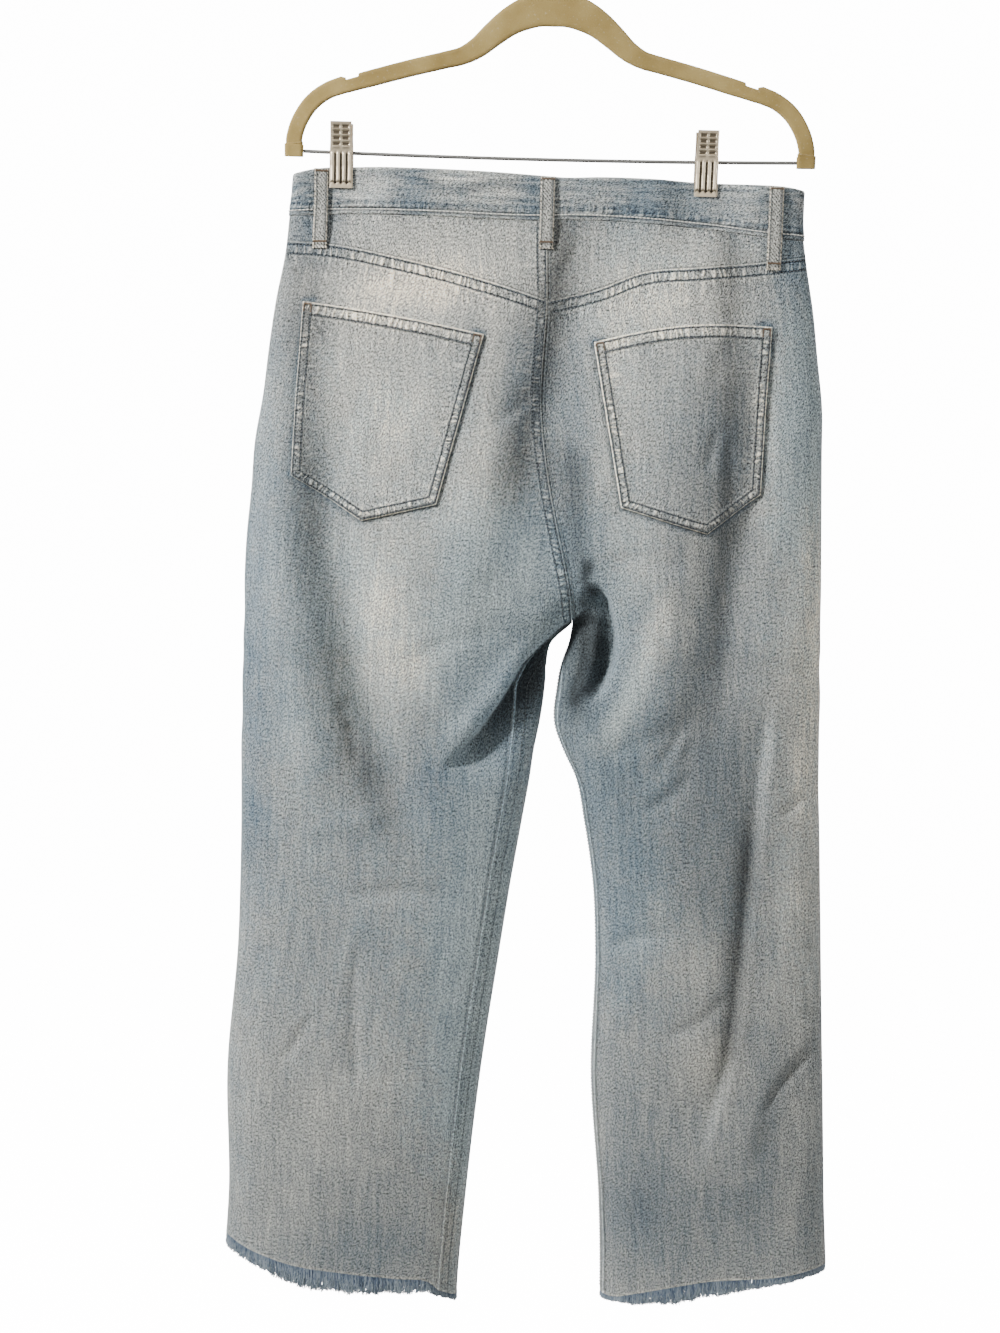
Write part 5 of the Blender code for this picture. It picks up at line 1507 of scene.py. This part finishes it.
# The button's profile, from its seat out: radius, height and how dark the grime is.
BUTTON = ((0.01, 0, 0), (7.4, 0, 0), (8.1, 0.3, 0), (8.45, 0.9, 0), (8.4, 1.6, 0), (8.0, 2.1, 0),
          (7.4, 2.3, 0), (6.9, 2.2, 0.2), (6.5, 1.8, 0.8), (6.2, 1.75, 0.8), (5.7, 2.0, 0.2),
          (4.6, 2.5, 0), (3.2, 2.85, 0), (1.8, 3.0, 0), (0.9, 2.95, 0.1), (0.01, 2.9, 0.1))
BUTTON_X, BUTTON_Z, BUTTON_SEAT = 3.0, -252.0, 8.5


def make_button():
    """A turned button: a beaded rim, a groove and a low dome, as rings of points round its axis."""
    x, z = BUTTON_X, BUTTON_Z
    rim = np.linspace(0, 2 * pi, 12)
    under = laid(FRONT, x + BUTTON_SEAT * np.cos(rim), z + BUTTON_SEAT * np.sin(rim),
                 BAND_OUT + GAP)
    seat = under[:, 1].max() + GAP / 2
    turn = np.linspace(0, 2 * pi, 48, endpoint=False)
    rings = [[(x + r * cos(a), seat + out, z + r * sin(a)) for a in turn] for r, out, _ in BUTTON]
    deep = np.repeat([grime for _, _, grime in BUTTON], len(turn))
    fit(rings_solid("button_turned", rings, brass, deep=deep), "aged_brass", "button")


# ---------------------------------------------------------------- frayed hems


def hem_edge(side):
    """Round a leg, the cut edge's outer and inner points and how long the threads are at each."""
    edges = []
    for face in (BACK, FRONT):
        across = np.linspace(0, 1, 500)
        z = along(HEM[side, face], across)
        start = inseam_angle(side, z) * face
        angle = start + (pi - start) * across
        outer, inner = cloth(side, face, angle, z), cloth(side, face, angle, z, -FRINGE)
        threads = along(HEM[side, face], across, 2)
        edges.append(np.column_stack([outer, inner, threads])[::face])
    edge = np.concatenate(edges)
    return edge[:, :3], edge[:, 3:6], edge[:, 6]


THREADS, STATIONS = 4300, 7  # how many threads a hem has, and points a thread


def make_fringe(side, word):
    """Threads that fall from the cut edge: each goes down by its length, leans with its tuft, a
    slow sum of sines round the hem, and waves more and more towards its tip. A few weft threads
    still run along the edge."""
    chance = np.random.default_rng(7 if side == LEFT else 11)
    outer, inner, threads = hem_edge(side)
    steps = run_of(outer, 0)
    at = np.sort(chance.uniform(0, steps[-1], THREADS))

    def read(values):
        return np.stack([np.interp(at, steps, part) for part in np.atleast_2d(values.T)], axis=-1)

    depth = chance.uniform(0.4, 1.0, (THREADS, 1))
    root = read(outer) * (1 - depth) + read(inner) * depth + (0, 0, 0.8)
    way = np.gradient(outer, axis=0)
    way /= np.linalg.norm(way, axis=1, keepdims=True) + 1e-9
    way = read(way) * (1, 1, 0)
    out = read(outer - inner) * (1, 1, 0)
    tuft = np.sin(at / 5.1 + 2 * np.sin(at / 23)) + 0.7 * np.sin(at / 2.3 + 1)
    tuft = tuft + 0.5 * np.sin(at / 11 + 3)
    ragged = 0.97 + 0.05 * np.sin(at / 4.6 + np.sin(at / 13)) + 0.04 * np.sin(at / 1.6)
    whole, full = chance.random(THREADS) < 0.86, chance.uniform(0.84, 1.03, THREADS)
    broken = chance.uniform(0.4, 0.8, THREADS)
    long = read(threads)[:, 0] * ragged * np.where(whole, full, broken) + 0.8
    t = np.linspace(0, 1, STATIONS)
    lean = (0.08 * tuft + chance.normal(0, 0.09, THREADS)) * long
    swing = chance.uniform(0.25, 0.75, THREADS) * np.minimum(long / 9, 1.3)
    phase, waves = chance.uniform(0, 2 * pi, THREADS), long / chance.uniform(4.5, 8.0, THREADS)
    turned = 2 * pi * waves[:, None] * t
    sideways = lean[:, None] * t**1.7 + swing[:, None] * np.sin(turned + phase[:, None]) * t
    forth = chance.normal(0, 0.05, THREADS)[:, None] * long[:, None] * t**1.5
    forth = forth + 0.35 * np.sin(turned * 1.1 + phase[:, None] * 2) * t
    paths = root[:, None] + way[:, None] * sideways[..., None]
    paths = paths + out[:, None] * forth[..., None] * 0.7
    paths[..., 2] -= long[:, None] * t
    radius = chance.uniform(0.44, 0.66, THREADS)[:, None] * (1 - 0.30 * t**2)
    points, faces = tubes(paths, radius, 3)
    # each thread is darker near the cut edge, painted shade under the hem, and paler towards its
    # tip
    tip = np.broadcast_to(t, (THREADS, STATIONS)) * 0.60 + chance.uniform(-0.25, 0.50, (THREADS, 1))
    fall = mesh_object(f"frayed_{word}", points, faces, (frayed,), way=np.repeat(tip.ravel(), 3))
    # weft threads along the edge
    strands = []
    for k in range(5):
        first = chance.uniform(0, steps[-1] * 0.6)
        spot = first + np.linspace(0, steps[-1] * 0.38, 150)
        share = 0.2 + 0.15 * k
        edge = outer * (1 - share) + inner * share
        line = np.stack([np.interp(spot % steps[-1], steps, part) for part in edge.T], axis=-1)
        line[:, 2] -= 0.3 + 0.35 * k + 0.3 * np.sin(spot / 6 + k)
        strands.append(line)
    points, faces = tubes(strands, 0.24, 5)
    ends = mesh_object(f"weft_ends_{word}", points, faces, (frayed,),
                       way=np.full(len(points), 0.62))
    return fit(fall, "frayed_threads", f"fringe_{word}"), fit(ends, "frayed_threads")


# ---------------------------------------------------------------- hanger

# One arm of the arch, from its middle to its end cap: a point of its line, how far the section
# reaches above and below that, and half its depth.
Arm = namedtuple("Arm", "x z above below half")
ARM = (
    Arm(0, -99.5, 14.5, 13, 2.8), Arm(12, -99.8, 14.2, 13, 2.8), Arm(25, -103.5, 13.0, 12.5, 2.8),
    Arm(37.5, -110, 11.4, 11.2, 2.8), Arm(50, -119.5, 9.9, 10.2, 2.8),
    Arm(62.5, -130, 8.3, 8.8, 2.8), Arm(75, -137, 7.1, 7.4, 2.8), Arm(90, -141, 6.8, 7.0, 2.8),
    Arm(120, -148.5, 6.8, 6.9, 2.8), Arm(150, -156.8, 6.8, 6.8, 2.8),
    Arm(159, -159.4, 6.7, 6.5, 2.8), Arm(161, -160, 4.4, 6.4, 2.8), Arm(171, -163, 4.6, 6.2, 2.8),
    Arm(174, -163.7, 8.0, 6.2, 2.8), Arm(188, -168.7, 7.2, 6.4, 2.8),
    Arm(201, -178.7, 7.1, 6.5, 2.8), Arm(210.2, -192.5, 7.0, 6.6, 2.8),
    Arm(214.6, -205, 6.8, 6.8, 2.8), Arm(214.9, -211.5, 7.0, 7.0, 2.8),
    Arm(215.0, -212, 8.0, 8.0, 3.9), Arm(215.1, -221.5, 7.8, 7.8, 3.7),
)
BAR_END, BAR_Z, BAR_SAG, BAR_RADIUS = 215.1 - 7.9 - GAP, -217.0, 2.2, 1.5
HOOK_WIRE, HOOK_INSIDE, HUMP_TOP = 1.8, 19.0, -85.0


def bar_z(x):
    return BAR_Z - BAR_SAG * (1 - (x / BAR_END) ** 2)


def make_hanger():
    """The moulded arch: a rounded section with a shallow rib along each edge, swept from end cap
    to end cap along a smooth line through ARM. Then the bar, which sags a little, and the hook,
    a curved neck that runs into an arc."""
    rows = np.array([row._replace(x=-row.x) for row in reversed(ARM[1:])] + list(ARM), float)
    k = np.arange(len(rows))
    at = np.linspace(0, k[-1], (len(rows) - 1) * 6 + 1)
    x, z = (smooth(at, k, rows[:, i]) for i in range(2))
    above, below, half = (np.interp(at, k, rows[:, i]) for i in range(2, 5))
    tangent = np.stack([np.gradient(x), np.gradient(z)], axis=1)
    tangent /= np.linalg.norm(tangent, axis=1, keepdims=True)
    turn = np.linspace(0, 2 * pi, 40, endpoint=False)
    c, s = np.cos(turn), np.sin(turn)
    out = np.sign(s) * np.abs(s) ** 0.55
    across = np.sign(c) * np.abs(c) ** 0.55
    face = across * (1 - 0.10 * np.exp(-((out / 0.62) ** 4)))
    edge = np.where(out > 0, above[:, None], below[:, None]) * out
    rings = np.stack([x[:, None] - tangent[:, 1:] * edge, half[:, None] * face,
                      z[:, None] + tangent[:, :1] * edge], axis=-1)
    fit(rings_solid("flocked_arch", rings, flock), "flocked_plastic", "hanger_body")
    run = np.linspace(-BAR_END, BAR_END, 90)
    bar = np.stack([run, 0 * run, bar_z(run)], axis=1)
    fit(wire("wire_bar", bar, BAR_RADIUS, 14, wire_metal), "plated_steel", "hanger_bar")
    bend = HOOK_INSIDE + HOOK_WIRE
    centre = HOOK_WIRE - bend
    first, last = radians(-28), radians(205)
    start = np.array([bend * cos(first), centre + bend * sin(first)])
    slope = np.array([-sin(first), cos(first)])
    ends = (np.array([0, HUMP_TOP - 1.0]), np.array([0, -60.0]), start - slope * 11, start)
    t = np.linspace(0, 1, 26)[:, None]
    neck = ((1 - t) ** 3 * ends[0] + 3 * (1 - t) ** 2 * t * ends[1]
            + 3 * (1 - t) * t**2 * ends[2] + t**3 * ends[3])
    angles = np.linspace(first, last, 60)[1:]
    arc = np.stack([bend * np.cos(angles), centre + bend * np.sin(angles)], axis=1)
    path = np.concatenate([neck, arc])
    path = np.stack([path[:, 0], 0 * path[:, 0], path[:, 1]], axis=1)
    fit(wire("wire_hook", path, HOOK_WIRE, 16, plate), "plated_steel", "hanger_hook")


CLIP_TOP, CLIP_BOTTOM = -193.0, -246.5
JAW = (  # height, inside face from the hanger's plane, flange, half the width
    (CLIP_BOTTOM, 3.5, 0.3, 9.7), (-228.5, 3.5, 0.3, 9.7), (-225.5, 3.8, 1.9, 9.7),
    (-217.5, 4.3, 2.4, 9.6), (-209.0, 5.4, 2.6, 9.2), (-205.0, 6.1, 0.5, 9.0),
    (CLIP_TOP, 8.2, 0.3, 8.9),
)
SHEET_METAL = 0.8
FIRST_SLOT, SLOT_PITCH, RIBS_END = -197.2, 4.6, -242.6
COIL_TURNS, COIL_LONG, COIL_RADIUS, COIL_WIRE = 11, 13.8, 3.25, 0.52


def jaw_relief(s, z):
    """How far a jaw's sheet is pressed out, and how deep and dark each place is: four short slots
    in two columns above, each with a raised lip below it, four upright ribs that end in a
    scalloped step, and dark edges. The dark is grime and painted shade in the slots, between the
    ribs and along the notch, painted shade at the turned edges, and a little everywhere but on
    the rib crests."""
    slots = np.zeros(np.broadcast_shapes(s.shape, z.shape))
    lips = np.zeros_like(slots)
    for column_at in (-0.42, 0.42):
        for row in range(4):
            tall = (z - (FIRST_SLOT - SLOT_PITCH * row)) / 1.2
            wide = (s - column_at) / 0.33
            lip = np.exp(-((tall + 1.7) ** 2)) * (1 - ramp(np.abs(wide), 0.7, 1.15))
            lips = np.maximum(lips, lip)
            slots = np.maximum(slots, 1 - ramp(np.maximum(np.abs(tall), np.abs(wide)), 0.7, 1.15))
    ribs = 0.5 - 0.5 * np.cos(s * 4 * pi)
    foot = RIBS_END - 0.9 * np.cos(s * 4 * pi)
    ribbed = ramp(-z, 216.5, 219) * ramp(z - foot, 0, 1.6)
    notch = bell(z - foot - 0.4, 0.8)
    relief = -0.80 * slots + 0.40 * lips + ribbed * (ribs - 0.40) - 0.40 * notch
    deep = np.clip(0.85 * slots + ribbed * (1 - ramp(ribs, 0.22, 0.72)) * 0.95 + 0.85 * notch, 0, 1)
    deep = np.maximum(deep, 0.55 * ramp(np.abs(s), 0.84, 0.95))
    deep = np.maximum(deep, 0.20 * (1 - ribbed * ramp(ribs, 0.5, 0.9)))
    return relief, deep


def make_jaw(name, node, x, face, relieved):
    """One pressed plate: a flat face with rounded corners and flanges turned towards the bar, as a
    wall between two grids, across by down."""
    z = np.linspace(CLIP_TOP, CLIP_BOTTOM, 84 if relieved else 42)[:, None]
    inside, flange, half = (jaw_column(i, z) for i in (1, 2, 3))
    turned = 9
    s = np.concatenate([np.full(turned, -1.0), np.linspace(-1, 1, 60)[1:-1], np.full(turned, 1.0)])
    fold = np.concatenate([np.linspace(1, 0, turned), np.zeros(58), np.linspace(0, 1, turned)])
    relief, deep = jaw_relief(s + 0 * z, z)
    flat_part = ramp(1 - np.abs(s), 0.02, 0.14)
    relief = relief * flat_part * (1.0 if relieved else 0.75)
    out = inside + 1.0 - fold * flange
    soft = 0.35 * bell(1 - np.abs(s), 0.05) * (fold < 0.01)
    outer = np.stack([x + s * half + 0 * z, -face * (out + relief - soft), z + 0 * s], axis=-1)
    inner_x = x + s * (half - SHEET_METAL * (np.abs(s) > 0.93))
    inner_out = np.where(fold > 0, out, out + relief - SHEET_METAL)
    inner_out = inner_out - SHEET_METAL * ((fold > 0) & (fold < 0.2))
    inner = np.stack([inner_x + 0 * z, -face * inner_out, z + 0 * s], axis=-1)
    piece = wall(name, outer, inner, (plate,), deep=deep * flat_part, sharp=48)
    return fit(piece, "plated_steel", node)


def jaw_column(index, z):
    """A column of JAW read at a height, straight between its rows."""
    rows = sorted(JAW)
    return np.interp(z, [row[0] for row in rows], [row[index] for row in rows])


def make_clips():
    """Two pressed jaws a clip, and a coil spring wound round the bar between them."""
    for word, x in CLIP_X.items():
        make_jaw(f"jaw_{word}_near", f"clip_{word}_near", x, BACK, True)
        make_jaw(f"jaw_{word}_far", f"clip_{word}_far", x, FRONT, False)
        t = np.linspace(0, COIL_TURNS * 2 * pi, COIL_TURNS * 18)
        run = x - COIL_LONG / 2 + COIL_LONG * t / t[-1]
        helix = np.stack([run, COIL_RADIUS * np.cos(t), bar_z(x) + COIL_RADIUS * np.sin(t)], axis=1)
        fit(wire(f"coil_{word}", helix, COIL_WIRE, 6, plate), "plated_steel", f"clip_{word}_spring")


# ---------------------------------------------------------------- stage


def make_stage():
    """A plain pale floor that curves up into a wall all round, as a profile turned about Z, and
    soft studio lights."""
    turn = np.linspace(0, 2 * pi, 96, endpoint=False)
    bend = np.linspace(0, pi / 2, 16)[1:]
    wall_at = FLOOR_FLAT + FLOOR_BEND
    radius = np.concatenate([np.linspace(0.01, FLOOR_FLAT, 8),
                             FLOOR_FLAT + FLOOR_BEND * np.sin(bend), [wall_at, wall_at]])
    height = np.concatenate([np.full(8, FLOOR_Z), FLOOR_Z + FLOOR_BEND * (1 - np.cos(bend)),
                             [1.2, WALL_TOP]])
    points = np.stack([radius[:, None] * np.cos(turn), radius[:, None] * np.sin(turn),
                       height[:, None] + 0 * turn], axis=-1)
    pale = Finish("pale_floor", Roughness=0.9, Emission_Strength=GLOW)
    tint = pale.noise(pale.spot((0.6, 0.6, 0.6)), detail=1.0)
    colour = pale.mix(tint, (0.95, 0.95, 0.95, 1), (0.97, 0.97, 0.965, 1))
    pale.feed("Base Color", colour)
    pale.feed("Emission Color", colour)
    faces = grid_faces(len(radius), 96, closed=True)
    floor = mesh_object("pale_floor", points * 1000, faces, (pale.material,))
    floor.visible_diffuse = floor.visible_glossy = False
    floor.visible_shadow = floor.visible_transmission = False
    world = bpy.data.worlds.new("studio")
    world.use_nodes = True
    tree = world.node_tree
    sky = tree.nodes["Background"]
    sky.inputs["Strength"].default_value = SKY
    direction = tree.nodes.new("ShaderNodeTexCoord")
    lean = tree.nodes.new("ShaderNodeVectorMath")
    lean.operation = "DOT_PRODUCT"
    lean.inputs[1].default_value = (-0.55, -0.25, 0.80)
    band = tree.nodes.new("ShaderNodeValToRGB")
    for element, (place, grey) in zip(band.color_ramp.elements, ((0.0, 0.10), (1.0, 1.0))):
        element.position, element.color = place, (grey, grey, grey, 1)
    shift = tree.nodes.new("ShaderNodeMath")
    shift.operation = "MULTIPLY_ADD"
    shift.inputs[1].default_value = shift.inputs[2].default_value = 0.5
    tree.links.new(direction.outputs["Generated"], lean.inputs[0])
    tree.links.new(lean.outputs["Value"], shift.inputs[0])
    tree.links.new(shift.outputs[0], band.inputs[0])
    tree.links.new(band.outputs[0], sky.inputs["Color"])
    bpy.context.scene.world = world
    for lamp in LAMPS:
        light = bpy.data.lights.new(lamp.name, "AREA")
        light.shape, light.size = "DISK", lamp.size
        light.energy, light.color = lamp.watts, lamp.colour
        obj = bpy.data.objects.new(lamp.name, light)
        obj.location = lamp.place
        way = Vector(lamp.aim) - Vector(lamp.place)
        obj.rotation_euler = way.to_track_quat("-Z", "Y").to_euler()
        obj.visible_diffuse = not lamp.only_gloss
        bpy.context.scene.collection.objects.link(obj)


GLOW, SKY = 15.0, 0.40
# In metres: the floor's height, how far out it is flat, how wide its bend is, the wall's top.
FLOOR_Z, FLOOR_FLAT, FLOOR_BEND, WALL_TOP = -1.95, 4.6, 1.4, 4.5
Lamp = namedtuple("Lamp", "name place aim size watts colour only_gloss")
WHITE, WARM = (1, 1, 1), (1.0, 0.94, 0.83)
LAMPS = (
    Lamp("key", (-2.1, -1.1, 0.75), (0, 0, -0.6), 0.36, 140, WHITE, False),
    Lamp("fill", (1.2, -2.6, -0.4), (0, 0, -0.7), 1.6, 6, WHITE, False),
    Lamp("side_right", (2.3, -1.0, -0.5), (0.1, 0, -0.75), 0.9, 22, WHITE, False),
    Lamp("behind_left", (-1.8, 2.2, 1.0), (0, 0, -0.6), 1.2, 36, WHITE, False),
    Lamp("behind_right", (2.0, 2.0, 0.2), (0, 0, -0.7), 1.6, 14, WHITE, False),
    Lamp("card", (0.0, -2.4, 0.15), (0, 0, -0.2), 1.3, 9, WARM, True),
)

# ---------------------------------------------------------------- build

for side, word in SIDES:
    make_panel(side, word, BACK)
    make_panel(side, word, FRONT)
    make_yoke(side, word)
    make_facing(side, word)
make_waistband()
for word, loop in LOOPS.items():
    make_loop(word, loop)
for word, patch in POCKETS.items():
    make_pocket(word, patch)
make_stitching()
make_fly()
make_button()
fringes = {word: make_fringe(side, word) for side, word in SIDES}
make_hanger()
make_clips()
make_stage()

# For a piece of cloth: the width and length that show of it, their area in square metres, and
# what it hangs from. No piece is listed.
Cut = namedtuple("Cut", "width length area hangs_from")

bpy.context.view_layer.update()
